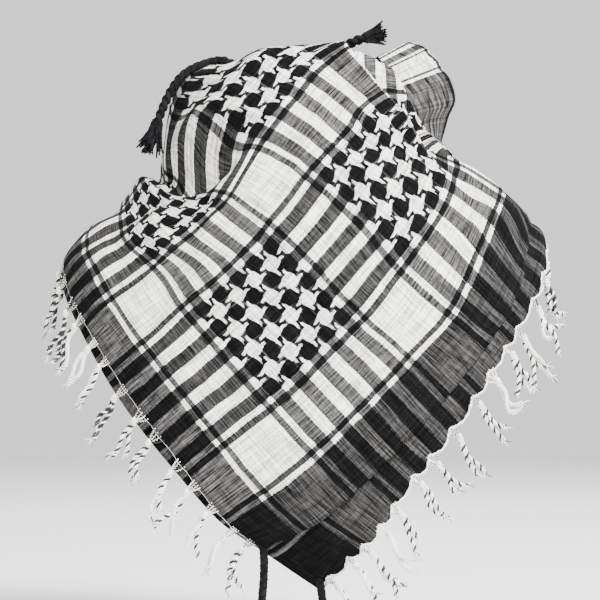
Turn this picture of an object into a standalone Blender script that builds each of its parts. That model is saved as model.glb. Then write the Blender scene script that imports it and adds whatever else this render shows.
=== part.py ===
"""A square cotton keffiyeh, folded to a triangle and worn round the neck.

The cloth is measured flat before it is draped. On the square, a is the distance in from the
plain edge and b the distance in from the fringed edge, both from the corner that hangs on the
chest. The fold runs where a + b is FOLD_SUM. Across the triangle, along is the distance from
its middle, right positive, and down is the distance below the fold. Tables are in millimetres.
x runs to the garment's right in a view of its front, y to its back and z up, from the base of
the neck.
"""

import math
import random

import bpy
import numpy as np

MM = 0.001
ROOT2 = math.sqrt(2.0)

# The cloth
FOLD_SUM = 1104.0  # a + b along the fold: two sides of a 1.1 m square
PITCH = 23.0  # cell of the sheet's grid, along the threads
CUT = 690.0  # the sheet ends here, at the nape, and the tied ends go on
HIDDEN_SUM = 690.0  # the under layer is built from its hem up to this a + b
WALL = 1.3  # one layer of cloth
LAYER_GAP = 1.2  # between the two layers
SEAM_GAP = 0.6  # between pieces that meet

# Ribs of the draped sheet. Each row is a course: down, x, y, z.
FRONT = (
    (0, -30, -42, 30),
    (90, -32, -46, 75),
    (170, -36, -58, 128),
    (215, -42, -76, 152),
    (245, -46, -92, 144),
    (280, -47, -104, 112),
    (330, -42, -113, 68),
    (400, -33, -128, 10),
    (470, -27, -140, -60),
    (540, -26, -147, -128),
    (600, -27, -149, -190),
    (660, -31, -149, -248),
    (740, -38, -136, -320),
    (790, -41, -116, -350),
    (860, -46, -86, -400),
)
RIGHT_CHEST = (
    (0, 10, -38, 30),
    (120, 14, -42, 98),
    (200, -2, -60, 150),
    (230, -4, -72, 154),
    (264, -4, -88, 136),
    (315, 24, -96, 98),
    (350, 47, -104, 63),
    (394, 68, -114, 25),
    (430, 90, -116, -13),
    (485, 94, -125, -74),
    (527, 100, -127, -119),
    (569, 103, -127, -157),
    (660, 98, -126, -250),
    (740, 96, -116, -328),
    (860, 92, -86, -410),
)
RIGHT_SHOULDER = (
    (0, 40, -30, 30),
    (120, 50, -32, 100),
    (210, 42, -44, 150),
    (264, 47, -66, 147),
    (304, 80, -66, 104),
    (340, 106, -60, 76),
    (372, 128, -48, 50),
    (400, 164, -30, 33),
    (432, 197, -18, 12),
    (466, 224, -10, -12),
    (490, 234, -14, -48),
    (520, 242, -22, -88),
    (560, 246, -26, -130),
    (600, 246, -24, -172),
    (700, 244, -20, -280),
    (860, 240, -16, -440),
)
RIGHT_BACK = (
    (0, 53, 6, 60),
    (120, 55, 8, 114),
    (175, 64, 5, 140),
    (212, 84, -1, 132),
    (254, 110, -2, 80),
    (283, 122, 10, 52),
    (330, 148, 40, 30),
    (400, 186, 74, -14),
    (520, 210, 90, -120),
    (860, 210, 90, -400),
)
RIGHT_NAPE = (
    (0, -26, 53, 100),
    (100, -26, 56, 118),
    (140, -26, 62, 125),
    (180, -26, 71, 117),
    (230, -26, 78, 86),
    (300, -26, 86, 38),
    (520, -26, 106, -120),
    (860, -26, 106, -400),
)
LEFT_CHEST = (
    (0, -60, -38, 35),
    (120, -62, -42, 100),
    (185, -68, -52, 138),
    (225, -82, -66, 134),
    (264, -94, -80, 107),
    (306, -112, -76, 72),
    (325, -108, -62, 28),
    (338, -102, -70, 4),
    (352, -104, -94, 6),
    (385, -116, -100, -8),
    (440, -142, -100, -41),
    (485, -141, -112, -69),
    (527, -149, -122, -106),
    (569, -151, -126, -144),
    (620, -152, -128, -190),
    (697, -150, -126, -262),
    (760, -150, -116, -318),
    (860, -148, -90, -410),
)
LEFT_SHOULDER = (
    (0, -80, -20, 40),
    (120, -84, -20, 100),
    (185, -92, -16, 140),
    (225, -118, -20, 128),
    (265, -136, -18, 88),
    (295, -142, -16, 44),
    (318, -138, -19, 16),
    (342, -158, -24, 22),
    (367, -171, -18, 11),
    (393, -184, -14, -6),
    (437, -216, -14, -24),
    (476, -242, -16, -52),
    (520, -250, -18, -86),
    (590, -250, -20, -140),
    (700, -250, -20, -235),
    (860, -250, -16, -385),
)
LEFT_BACK = (
    (0, -80, 46, 80),
    (120, -88, 52, 126),
    (190, -112, 46, 120),
    (254, -124, 50, 60),
    (283, -130, 56, 30),
    (330, -152, 66, 14),
    (400, -190, 80, -24),
    (520, -214, 94, -120),
    (860, -214, 94, -400),
)
LEFT_NAPE = (
    (0, 26, 76, 104),
    (100, 26, 79, 121),
    (140, 26, 86, 129),
    (180, 26, 96, 121),
    (230, 26, 105, 88),
    (300, 26, 112, 36),
    (520, 26, 130, -120),
    (860, 26, 130, -400),
)

# Where the ribs cross the cloth: a rib follows one thread from the fold down to the shoulder,
# and below it keeps a steady distance from the middle.
SHOULDER_THREAD = 430.0
BACK_THREAD = 540.0
RIGHT_ARM_REACH = 340.0
LEFT_ARM_REACH = 318.0
CHEST_REACH = 130.0
BACK_REACH = 110.0  # more than the arm's
NAPE_REACH = 260.0
EASE = 60.0
LEAST_SPACING = 25.0


def thread_place(down, thread, reach, ease):
    """How far from the middle a thread lies on each course, held to reach below the shoulder."""
    place = (2 * thread - FOLD_SUM + down * ROOT2) / ROOT2
    start = reach - ease
    return np.where(place > start, start + ease * np.tanh((place - start) / ease), place)


def rib_places(down):
    """The ribs' distances from the middle, left to right, one row for each point."""
    columns = []
    for side, arm in ((-1, LEFT_ARM_REACH), (1, RIGHT_ARM_REACH)):
        shoulder = thread_place(down, SHOULDER_THREAD, arm, EASE)
        chest = shoulder / 2
        start = CHEST_REACH - EASE / 2
        eased = start + EASE / 2 * np.tanh((chest - start) / (EASE / 2))
        chest = np.where(chest > start, eased, chest)
        back = thread_place(down, BACK_THREAD, arm + BACK_REACH, EASE)
        nape = thread_place(down, CUT, arm + NAPE_REACH, EASE)
        chest = np.maximum(chest, LEAST_SPACING)
        shoulder = np.maximum(shoulder, chest + LEAST_SPACING)
        back = np.maximum(back, shoulder + LEAST_SPACING)
        nape = np.maximum(nape, back + LEAST_SPACING)
        columns.append([side * place for place in (chest, shoulder, back, nape)])
    left, right = columns
    return np.stack(left[::-1] + [np.zeros_like(down)] + right, axis=1)


def hermite(before, after, leave, arrive, width, t):
    return (
        (2 * t**3 - 3 * t**2 + 1) * before
        + (t**3 - 2 * t**2 + t) * width * leave
        + (3 * t**2 - 2 * t**3) * after
        + (t**3 - t**2) * width * arrive
    )


def rib_points(rows, down):
    """Points on a rib at these courses, on a smooth curve through its rows."""
    rows = np.array(rows, float)
    knots, points = rows[:, 0], rows[:, 1:]
    width = np.diff(knots)[:, None]
    slope = np.diff(points, axis=0) / width
    lean = np.empty_like(points)
    lean[0], lean[-1] = slope[0], slope[-1]
    lean[1:-1] = (width[1:] * slope[:-1] + width[:-1] * slope[1:]) / (width[1:] + width[:-1])
    k = np.clip(np.searchsorted(knots, down, side="right") - 1, 0, len(knots) - 2)
    t = ((down - knots[k]) / width[k, 0])[:, None]
    return hermite(points[k], points[k + 1], lean[k], lean[k + 1], width[k], t)


RIBS = (
    LEFT_NAPE,
    LEFT_BACK,
    LEFT_SHOULDER,
    LEFT_CHEST,
    FRONT,
    RIGHT_CHEST,
    RIGHT_SHOULDER,
    RIGHT_BACK,
    RIGHT_NAPE,
)
MOST_STRETCH = 1.05  # the cloth's own length along a course, but for the give on its bias
SLACK = 1.2


def loft(ribs, knots, across, down):
    """Points on a smooth surface through the ribs, which are crossed at their knots."""
    points = np.stack([rib_points(rows, down) for rows in ribs], axis=1)
    width = np.diff(knots, axis=1)[:, :, None]
    slope = np.diff(points, axis=1) / width
    lean = np.empty_like(points)
    lean[:, 0], lean[:, -1] = slope[:, 0], slope[:, -1]
    weighed = width[:, 1:] * slope[:, :-1] + width[:, :-1] * slope[:, 1:]
    lean[:, 1:-1] = weighed / (width[:, 1:] + width[:, :-1])
    stretch = np.linalg.norm(slope, axis=2)
    least = np.minimum(stretch[:, 1:], stretch[:, :-1])
    nearest = np.concatenate([stretch[:, :1], least, stretch[:, -1:]], axis=1)
    size = np.minimum(MOST_STRETCH, SLACK * nearest) / np.linalg.norm(lean, axis=2)
    lean = lean * size[:, :, None]
    k = np.clip((across[:, None] >= knots).sum(axis=1) - 1, 0, len(ribs) - 2)
    row = np.arange(len(k))
    t = ((across - knots[row, k]) / width[row, k, 0])[:, None]
    leave, arrive = lean[row, k], lean[row, k + 1]
    return hermite(points[row, k], points[row, k + 1], leave, arrive, width[row, k], t)


def form(a, b):
    """The draped sheet without its folds, in millimetres, for arrays of one shape."""
    a, b = np.broadcast_arrays(np.asarray(a, float), np.asarray(b, float))
    along = ((b - a) / ROOT2).ravel()
    down = ((FOLD_SUM - a - b) / ROOT2).ravel()
    knots = rib_places(down)
    placed = loft(RIBS, knots, along, down) + neck_folds(along, down, knots)
    return placed.reshape(a.shape + (3,))


# Folds that gather the cloth towards the nape
FOLD_COUNT = 3
FOLD_DEPTH = 3.5
FOLDED_DEPTH = 300.0  # of cloth below the fold line


def neck_folds(along, down, knots):
    """Waves across the band behind the neck, which grow from nothing at the side ribs."""
    far = np.maximum(
        (along - knots[:, -2]) / (knots[:, -1] - knots[:, -2]),
        (knots[:, 1] - along) / (knots[:, 1] - knots[:, 0]),
    )
    grown = np.clip(far, 0, 1) ** 2 * (3 - 2 * np.clip(far, 0, 1))
    wave = np.sin(2 * math.pi * FOLD_COUNT * down / FOLDED_DEPTH)
    deep = FOLD_DEPTH * grown * wave * np.clip((down - 120) / 80, 0, 1)
    return np.stack([np.zeros_like(deep), deep, np.zeros_like(deep)], axis=1)


# Folds of the sheet. Rows: from a, b, to a, b, height, half width. A trough's height is
# negative.
FOLDS = (
    (390, 420, 140, 420, 4, 20),  # the right pleat's ridge, and the trough behind it
    (390, 464, 150, 460, -4, 20),
    (300, 534, 180, 534, 4, 18),  # the second ridge, and the trough behind it
    (240, 576, 120, 570, -3, 20),
    (316, 400, 316, 280, 4, 17),  # the crease left of the chest, and the hollow beside it
    (362, 400, 366, 290, -4, 20),
    (400, 214, 270, 232, -4, 18),  # gathers under the left rim
    (410, 168, 300, 150, 4, 18),
    (400, 110, 290, 70, -4, 20),
    (470, 300, 480, 60, -4, 22),  # the left shoulder
    (520, 260, 530, 30, 4, 22),
    (585, 300, 590, 30, -5, 22),
    (260, 470, 40, 490, -4, 22),  # the right shoulder
    (190, 604, 40, 590, 4, 22),
    (190, 655, 30, 640, -4, 22),
    (150, 330, 60, 200, 3, 26),  # slack across the chest
    (250, 60, 120, 50, 3, 26),
    (60, 60, 20, 20, -4, 26),
)
STEP = 1.5  # for slopes, along the threads


def unit(vectors):
    return vectors / np.linalg.norm(vectors, axis=-1, keepdims=True)


def normals(surface, u, v):
    """Unit normals of a surface of two numbers, on the side away from the wearer."""
    across_u = surface(u + STEP, v) - surface(u - STEP, v)
    across_v = surface(u, v + STEP) - surface(u, v - STEP)
    return unit(np.cross(across_v, across_u))


def folded(a, b):
    """How far the folds raise the sheet at (a, b). Each fades out towards its ends."""
    raised = np.zeros(np.broadcast(a, b).shape)
    for from_a, from_b, to_a, to_b, height, half in FOLDS:
        run = np.array((to_a - from_a, to_b - from_b), float)
        length = np.linalg.norm(run)
        run /= length
        along = (a - from_a) * run[0] + (b - from_b) * run[1]
        beside = (a - from_a) * run[1] - (b - from_b) * run[0]
        ends = np.clip(0.5 - np.abs(along / length - 0.5), -0.2, 0.25) + 0.2
        raised += height * np.exp(-((beside / half) ** 2)) * (ends / 0.45) ** 2
    return raised


# The under layer's fringed hem stands away from the right shoulder, past the plain hem above it.
FLARE = 15.0
FLARE_RUN = 24.0
FLARE_SPAN = (340.0, 550.0)


def flare(a, b):
    """How far the cloth past the outer layer's plain hem stands out at (a, b)."""
    past_hem = np.clip(-a / FLARE_RUN, 0, 1)
    along = np.clip((b - FLARE_SPAN[0]) / (FLARE_SPAN[1] - FLARE_SPAN[0]), 0, 1)
    return FLARE * past_hem**2 * (3 - 2 * past_hem) * np.sin(math.pi * along) ** 2


def drape(a, b):
    """The outer face of the draped sheet at (a, b)."""
    a, b = np.asarray(a, float), np.asarray(b, float)
    return form(a, b) + (folded(a, b) + flare(a, b))[..., None] * normals(form, a, b)


def layer(surface, u, v, depth):
    """Points this deep under a surface."""
    return surface(u, v) - depth * normals(surface, u, v)


# The tied ends. Each line runs from the nape to the end: how far, x, y, z.
END_KNOTS = (0.0, 60.0, 120.0, 170.0, 230.0, 293.0)  # where they cross the gathered cloth
LEFT_END = (
    ((0, 28, 76, 105), (50, 58, 72, 126), (95, 80, 52, 140), (140, 88, 28, 146), (175, 80, 8, 142)),
    ((0, 28, 78, 115), (50, 60, 78, 140), (95, 86, 56, 155), (140, 94, 28, 160), (175, 84, 6, 150)),
    ((0, 28, 83, 127), (50, 68, 92, 150), (95, 102, 66, 162), (140, 112, 30, 166), (175, 94, 5, 150)),
    ((0, 28, 94, 124), (50, 80, 106, 134), (95, 122, 74, 144), (140, 136, 32, 150), (175, 104, 5, 130)),
    ((0, 28, 105, 88), (50, 89, 114, 92), (95, 136, 76, 104), (140, 152, 34, 110), (175, 118, 8, 96)),
    ((0, 28, 112, 38), (50, 84, 112, 46), (95, 128, 76, 58), (140, 144, 40, 62), (175, 136, 14, 60)),
)
RIGHT_END = (
    ((0, -28, 52, 101), (40, -44, 38, 108), (85, -60, 22, 122), (130, -63, 2, 134)),
    ((0, -28, 54, 110), (40, -45, 39, 117), (85, -61, 23, 128), (130, -65, 2, 138)),
    ((0, -28, 58, 122), (40, -48, 44, 126), (85, -64, 26, 133), (130, -68, 2, 140)),
    ((0, -28, 61, 120), (40, -50, 47, 118), (85, -67, 29, 122), (130, -70, 2, 131)),
    ((0, -28, 70, 86), (40, -53, 53, 86), (85, -68, 31, 98), (130, -70, 2, 118)),
    ((0, -28, 80, 40), (40, -54, 60, 48), (85, -66, 32, 70), (130, -66, 2, 102)),
)
LEFT_END_LENGTH = 175.0
RIGHT_END_LENGTH = 130.0
END_STEP = 12.5
END_COLUMNS = 14
END_FOLD_DEPTH = 3.0


def tied_end(lines, towards):
    """The surface of a tied end: u across the gathered cloth, v along it from the nape."""

    def surface(u, v):
        across, along = np.broadcast_arrays(np.asarray(u, float), np.asarray(v, float))
        shape = across.shape
        across, along = across.ravel(), along.ravel()
        knots = np.tile(END_KNOTS, (len(across), 1))
        placed = loft(lines, knots, across, along)
        wave = np.sin(2 * math.pi * FOLD_COUNT * across / FOLDED_DEPTH)
        wave *= np.clip((across - 120) / 80, 0, 1)
        away = placed * (1, 1, 0)
        placed = placed + END_FOLD_DEPTH * wave[:, None] * unit(away)
        return placed.reshape(shape + (3,))

    if towards < 0:
        return lambda u, v: surface(u, -v)
    return surface


# The under layer shows past the hems of the layer above it. Rows: how far along, how far out.
UNDER_PLAIN_HEM = ((-80, -7), (0, -3), (80, 1), (150, 6), (240, 9), (330, 9), (700, 9))
UNDER_FRINGED_HEM = (
    (-10, 71),
    (7, 71),
    (60, 52),
    (150, 28),
    (300, 16),
    (450, 20),
    (560, 28),
    (700, 30),
)


def past(rows, place):
    """How far out a hem is at this place along it."""
    places, outs = zip(*rows)
    return np.interp(place, places, outs)


# Fringe
TASSEL_PITCH = 30.0
TASSEL_ROOT = 10.0
STRIP = 3.0
STRIP_START = 6.0  # from the corner, clear of its tail
STRIP_LINES = 28  # of the sheet's grid: it ends short of the nape
SECTIONS = (  # rows: from the strip, width, thickness
    (9.0, 4.0, 3.0),
    (13.0, 6.0, 5.0),
    (17.0, 5.0, 3.6),
)
STRANDS = (  # rows: from the strip, apart, width
    (30.0, 4.0, 3.0),
    (46.0, 7.0, 2.8),
    (62.0, 9.0, 2.4),
)
HANG = 22.0  # from the strip to where a tassel hangs as it will
CLEAR = 1.0  # keeps a knot clear of the layer below
LEFT_HANG = (-0.36, -0.12, -0.92)
RIGHT_HANG = (0.46, -0.1, -0.88)
BACK_HANG = (0.0, 0.16, -0.98)

# Corner tails. Rows: x, y, z, radius.
CHEST_TAIL = (
    (0, 0, 0, 3.0),
    (1, 0, -12, 5.0),
    (1, 0, -20, 4.2),
    (-1, 0, -50, 4.8),
    (-3, 0, -80, 4.0),
)
UNDER_TAIL = (
    (0, 0, 0, 3.0),
    (2, 0, -10, 5.0),
    (3, 0, -17, 4.2),
    (4, 0, -32, 4.8),
    (5, 0, -50, 4.0),
)
RIGHT_CREST_TAIL = (
    (32, -22, 132, 3.5),
    (36, -26, 148, 4.2),
    (45, -32, 160, 5.0),
    (58, -34, 165, 4.4),
    (70, -34, 168, 5.6),
    (84, -33, 169, 8.0),
)
LEFT_CREST_TAIL = (
    (-68, -2, 142, 3.5),
    (-82, -10, 149, 4.0),
    (-102, -18, 146, 5.2),
    (-122, -26, 134, 4.4),
    (-137, -30, 112, 4.6),
    (-146, -33, 89, 4.8),
    (-152, -38, 68, 7.0),
    (-159, -44, 45, 10.0),
)
TAIL_SIDES = 8
TAIL_GAP = 1.2


def material(name, colour, roughness):
    made = bpy.data.materials.new(name)
    made.use_nodes = True
    shader = made.node_tree.nodes["Principled BSDF"]
    shader.inputs["Base Color"].default_value = (*colour, 1)
    shader.inputs["Roughness"].default_value = roughness
    return made


def checked_cotton():
    return material("checked_cotton", (0.42, 0.41, 0.4), 0.9)


def white_thread():
    return material("white_thread", (0.78, 0.75, 0.7), 0.88)


def black_thread():
    return material("black_thread", (0.012, 0.012, 0.014), 0.85)


def solid(name, points, faces, finish):
    """An object of these points, in millimetres."""
    mesh = bpy.data.meshes.new(name)
    mesh.from_pydata([tuple(MM * value for value in point) for point in points], [], faces)
    mesh.materials.append(finish)
    mesh.shade_smooth()
    mesh.set_sharp_from_angle(angle=math.radians(50))
    made = bpy.data.objects.new(name, mesh)
    bpy.context.collection.objects.link(made)
    return made


def wall(name, surface, places, faces, depth, finish):
    """A wall of cloth on a surface: its outer face is this deep, and its edges are closed."""
    order = {place: k for k, place in enumerate(places)}
    u, v = np.array([places[place] for place in places]).T
    count = len(order)
    points = np.concatenate(
        [layer(surface, u, v, depth), layer(surface, u, v, depth + WALL)]
    )
    outer = [tuple(order[place] for place in face) for face in faces]
    edges = {(face[k - 1], face[k]) for face in outer for k in range(len(face))}
    inner = [tuple(count + k for k in reversed(face)) for face in outer]
    rim = [(q, p, count + p, count + q) for p, q in edges if (q, p) not in edges]
    return solid(name, points, outer + inner + sorted(rim), finish)


def triangle_cells(columns, rows, most):
    """Triangles of a grid of cells, cut off along a diagonal, facing away from the wearer."""
    faces = []
    for i in range(columns):
        for j in range(rows):
            if i + j + 1 <= most:
                faces.append(((i, j), (i, j + 1), (i + 1, j)))
            if i + j + 2 <= most:
                faces.append(((i + 1, j), (i, j + 1), (i + 1, j + 1)))
    return faces


def outer_layer():
    cells = round(CUT / PITCH)
    faces = triangle_cells(cells, cells, round(FOLD_SUM / PITCH))
    places = {place: (PITCH * place[0], PITCH * place[1]) for face in faces for place in face}
    return wall("outer_layer", drape, places, faces, 0.0, checked_cotton())


def under_place(i, j):
    """Where the under layer's grid is: its first lines lie along its hems."""
    a = PITCH * (i - 1)
    b = PITCH * j
    if i == 0:
        a = -past(UNDER_FRINGED_HEM, max(b, 7.0))
    if j == 0:
        b = -past(UNDER_PLAIN_HEM, a)
    return a, b


def under_layer():
    cells = round(HIDDEN_SUM / PITCH)
    faces = triangle_cells(cells + 1, cells - 1, cells + 1)
    places = {place: under_place(*place) for face in faces for place in face}
    return wall("under_layer", drape, places, faces, WALL + LAYER_GAP, checked_cotton())


def end_wrap(name, lines, length, towards):
    surface = tied_end(lines, towards)
    rows = round(length / END_STEP)
    faces = []
    for i in range(END_COLUMNS):
        for j in range(rows):
            corners = [(i, j), (i, j + 1), (i + 1, j + 1), (i + 1, j)]
            if towards < 0:
                corners = corners[::-1]
            faces.append(tuple(corners))
    width = END_KNOTS[-1] / END_COLUMNS
    places = {}
    for face in faces:
        for i, j in face:
            places[i, j] = (width * i, towards * length * j / rows)
    return wall(name, surface, places, faces, 0.0, checked_cotton())


def hem_of_outer(k):
    """Where the outer layer's fringed hem crosses a line of its grid."""
    return PITCH * k, 0.0


def hem_of_under(k):
    """Where the under layer's fringed hem crosses a line of its grid."""
    return under_place(0, k)


def beside_hem(hem, away, places, out, depth):
    """Points beside a wall's hem, which is straight from one line of its grid to the next."""
    lines = np.array([hem(k) for k in range(STRIP_LINES + 1)])
    a, b = (lines + out * np.array(away)).T
    points = layer(drape, a, b, depth)
    where = np.array(places) / PITCH
    axes = [np.interp(where, range(STRIP_LINES + 1), points[:, axis]) for axis in range(3)]
    return np.stack(axes, axis=1)


def tassel_places(rng):
    """Middles of the tassels' roots along a hem, each within one cell of the wall's grid."""
    places = []
    for k in range(int(STRIP_LINES * PITCH / TASSEL_PITCH)):
        middle = (k + 0.5) * TASSEL_PITCH + rng.uniform(-3, 3)
        cell = math.floor(middle / PITCH) * PITCH
        room = TASSEL_ROOT / 2 + 1
        places.append(min(max(middle, cell + room), cell + PITCH - room))
    return places


def tassel_path(start, out, hang):
    """The middle of a tassel at each of its rows, and the way it runs there."""
    centre, way, reached = start, out, 0.0
    stops = []
    for stop in [row[0] for row in SECTIONS + STRANDS]:
        step = (stop - reached) / 4
        for _ in range(4):
            reached += step
            turned = min(reached / HANG, 1.0)
            way = unit(out * (1 - turned) + hang * turned)
            centre = centre + way * step
        stops.append((centre, way))
    return stops


def section(stop, across, shift, wide, thick):
    """Corners of a section across a tassel, left to right on top and then right to left."""
    centre, way = stop
    level = unit(across - way * np.dot(across, way))
    above = np.cross(level, way)
    middle = centre + level * shift + above * CLEAR
    sides = ((-1, 1), (1, 1), (1, -1), (-1, -1))
    return [middle + level * s * wide / 2 + above * t * thick / 2 for s, t in sides]


def join(faces, before, after):
    for k in range(4):
        n = (k + 1) % 4
        faces.append((before[k], before[n], after[n], after[k]))


def add(points, corners):
    first = len(points)
    points.extend(corners)
    return list(range(first, first + len(corners)))


def add_tassel(points, faces, root, out, across, hang):
    """A neck, a knot and two strands, from a root face."""
    stops = tassel_path(sum(points[k] for k in root) / 4, out, hang)
    before = root
    for stop, (_, wide, thick) in zip(stops[:2], SECTIONS[:2]):
        after = add(points, section(stop, across, 0.0, wide, thick))
        join(faces, before, after)
        before = after
    corners = section(stops[2], across, 0.0, *SECTIONS[2][1:])
    after = add(points, corners)
    top, bottom = add(points, [(corners[0] + corners[1]) / 2, (corners[2] + corners[3]) / 2])
    faces.append((before[0], before[1], after[1], top, after[0]))
    faces.append((before[1], before[2], after[2], after[1]))
    faces.append((before[2], before[3], after[3], bottom, after[2]))
    faces.append((before[3], before[0], after[0], after[3]))
    halves = ((after[0], top, bottom, after[3]), (top, after[1], after[2], bottom))
    for side, before in zip((-1, 1), halves):
        for stop, (_, apart, wide) in zip(stops[3:], STRANDS):
            after = add(points, section(stop, across, side * apart / 2, wide, wide))
            join(faces, before, after)
            before = after
        faces.append(tuple(before))


def fringe(name, hem, away, depth, seed):
    """A strip along a hem, parted from the wall, with its tassels."""
    middles = tassel_places(random.Random(seed))
    roots = [(middle - TASSEL_ROOT / 2, middle + TASSEL_ROOT / 2) for middle in middles]
    side = -1 if away[1] else 1
    places = {STRIP_START} | {PITCH * k for k in range(1, STRIP_LINES + 1)}
    places.update(end for pair in roots for end in pair)
    places = sorted(places, reverse=side > 0)
    starts = {pair[0] if side < 0 else pair[1] for pair in roots}
    edges = [
        beside_hem(hem, away, places, SEAM_GAP + out, depth + deep)
        for out, deep in ((0, 0), (STRIP, 0), (STRIP, WALL), (0, WALL))
    ]
    points = list(np.stack(edges, axis=1).reshape(-1, 3))
    last = 4 * (len(places) - 1)
    faces = [(0, 1, 2, 3), (last + 3, last + 2, last + 1, last)]
    for k, place in enumerate(places[:-1]):
        here, there = 4 * k, 4 * k + 4
        faces.append((here, there, there + 1, here + 1))
        faces.append((here + 2, there + 2, there + 3, here + 3))
        faces.append((here + 3, there + 3, there, here))
        root = [here + 1, there + 1, there + 2, here + 2]
        if place not in starts:
            faces.append(tuple(root))
            continue
        out = unit(points[here + 1] - points[here])
        across = unit(points[there + 1] - points[here + 1])
        add_tassel(points, faces, root, out, across, hang_of(points[here], side))
    return solid(name, points, faces, white_thread())


def hang_of(root, side):
    """The way a tassel hangs: sideways at the front, and straight down at the back."""
    back = min(max((root[1] + 100) / 100, 0.0), 1.0)
    front = np.array(LEFT_HANG if side < 0 else RIGHT_HANG)
    return unit(front * (1 - back) + np.array(BACK_HANG) * back)


def tail(name, rows, start):
    """A corner's braided tail: a round tube through its rows, closed at both ends."""
    rows = np.array(rows, float)
    centres = rows[:, :3] + start
    ways = unit(np.gradient(centres, axis=0))
    points = []
    for centre, way, radius in zip(centres, ways, rows[:, 3]):
        level = unit(np.cross(way, (0.0, 1.0, 0.1)))
        above = np.cross(level, way)
        for k in range(TAIL_SIDES):
            turn = 2 * math.pi * k / TAIL_SIDES
            points.append(centre + radius * (level * math.cos(turn) + above * math.sin(turn)))
    faces = [tuple(range(TAIL_SIDES))]
    for row in range(len(rows) - 1):
        for k in range(TAIL_SIDES):
            here, n = row * TAIL_SIDES + k, row * TAIL_SIDES + (k + 1) % TAIL_SIDES
            faces.append((here, here + TAIL_SIDES, n + TAIL_SIDES, n))
    last = (len(rows) - 1) * TAIL_SIDES
    faces.append(tuple(last + k for k in reversed(range(TAIL_SIDES))))
    return solid(name, points, faces, black_thread())


def corner(a, b, depth):
    """Just below a corner of a layer, in the middle of its wall."""
    return layer(drape, a, b, depth + WALL / 2) + (0, 0, -TAIL_GAP)


def main():
    for old in list(bpy.data.objects):
        bpy.data.objects.remove(old)
    under_depth = WALL + LAYER_GAP
    outer_layer()
    under_layer()
    end_wrap("left_end_wrap", LEFT_END, LEFT_END_LENGTH, 1)
    end_wrap("right_end_wrap", RIGHT_END, RIGHT_END_LENGTH, -1)
    fringe("outer_fringe", hem_of_outer, (0, -1), 0.0, 3)
    fringe("under_fringe", hem_of_under, (-1, 0), under_depth, 5)
    tail("chest_tail", CHEST_TAIL, corner(0.0, 0.0, 0.0))
    tail("under_tail", UNDER_TAIL, corner(*under_place(0, 0), under_depth))
    tail("right_crest_tail", RIGHT_CREST_TAIL, (0, 0, 0))
    tail("left_crest_tail", LEFT_CREST_TAIL, (0, 0, 0))


main()
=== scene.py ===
# %% [markdown]
# # A square keffiyeh, worn
#
# A keffiyeh is a thin cotton square of about 1.1 m, woven with stripes in warp and weft and
# fringed on two sides. This one is folded corner to corner, laid over chest and shoulders with
# the fold round the neck, and its two ends are wound behind it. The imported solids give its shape.
# Here the same drape carries a finer mesh, the woven pattern, and real threads.

# %% The frame
import math
import random

import bmesh
import bpy
import numpy as np
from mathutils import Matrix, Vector


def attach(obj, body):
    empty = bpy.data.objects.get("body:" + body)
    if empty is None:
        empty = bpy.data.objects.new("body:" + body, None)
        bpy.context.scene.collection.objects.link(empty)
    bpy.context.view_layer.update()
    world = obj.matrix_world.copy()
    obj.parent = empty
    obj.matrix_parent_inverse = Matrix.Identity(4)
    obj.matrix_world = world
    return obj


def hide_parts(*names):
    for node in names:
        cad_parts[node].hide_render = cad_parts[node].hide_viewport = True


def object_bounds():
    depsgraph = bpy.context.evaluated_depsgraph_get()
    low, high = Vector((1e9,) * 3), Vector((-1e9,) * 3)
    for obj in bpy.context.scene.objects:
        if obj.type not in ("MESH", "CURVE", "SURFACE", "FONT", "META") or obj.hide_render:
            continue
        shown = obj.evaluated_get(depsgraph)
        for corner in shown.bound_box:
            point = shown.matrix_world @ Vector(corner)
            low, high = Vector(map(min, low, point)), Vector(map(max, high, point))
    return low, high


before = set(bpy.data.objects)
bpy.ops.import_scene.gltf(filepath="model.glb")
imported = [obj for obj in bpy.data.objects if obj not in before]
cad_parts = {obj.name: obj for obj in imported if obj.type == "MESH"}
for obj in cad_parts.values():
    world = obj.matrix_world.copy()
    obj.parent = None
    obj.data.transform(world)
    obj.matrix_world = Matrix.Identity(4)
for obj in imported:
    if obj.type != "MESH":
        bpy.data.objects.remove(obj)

bounds_before = [list(corner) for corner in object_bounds()]
print("solids:", bounds_before)

# %% [markdown]
# ## The drape
#
# The cloth is measured flat, in millimetres, before it is draped: a is the distance in from
# the plain edge and b from the fringed edge, both from the corner on the chest. The fold runs
# where a + b is FOLD_SUM. Keeping these two numbers at every point is what lets the woven
# pattern follow the folds as real threads do. A cloth simulation could drape the square, but
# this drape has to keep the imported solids' form, so the same surface is drawn again, finer.

# %% Sizes of the cloth
MM = 0.001
ROOT2 = math.sqrt(2.0)
FOLD_SUM = 1104.0  # two sides of a 1.1 m square
PITCH = 23.0  # cell of the solids' grid
CUT = 690.0  # the sheet ends here, at the nape, and the tied ends go on
HIDDEN_SUM = 690.0
WALL = 1.3  # of the solids
LAYER_GAP = 1.2
SEAM_GAP = 0.6
CLOTH = 0.9  # thickness drawn: cotton gauze is thinner still

# %% [markdown]
# Nine ribs say where the cloth lies, each a course of points from the fold over the neck and
# down. A smooth surface is lofted through them, and folds are raised on it. Sculpting would give
# freer folds, but would lose the threads' own places.

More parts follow.
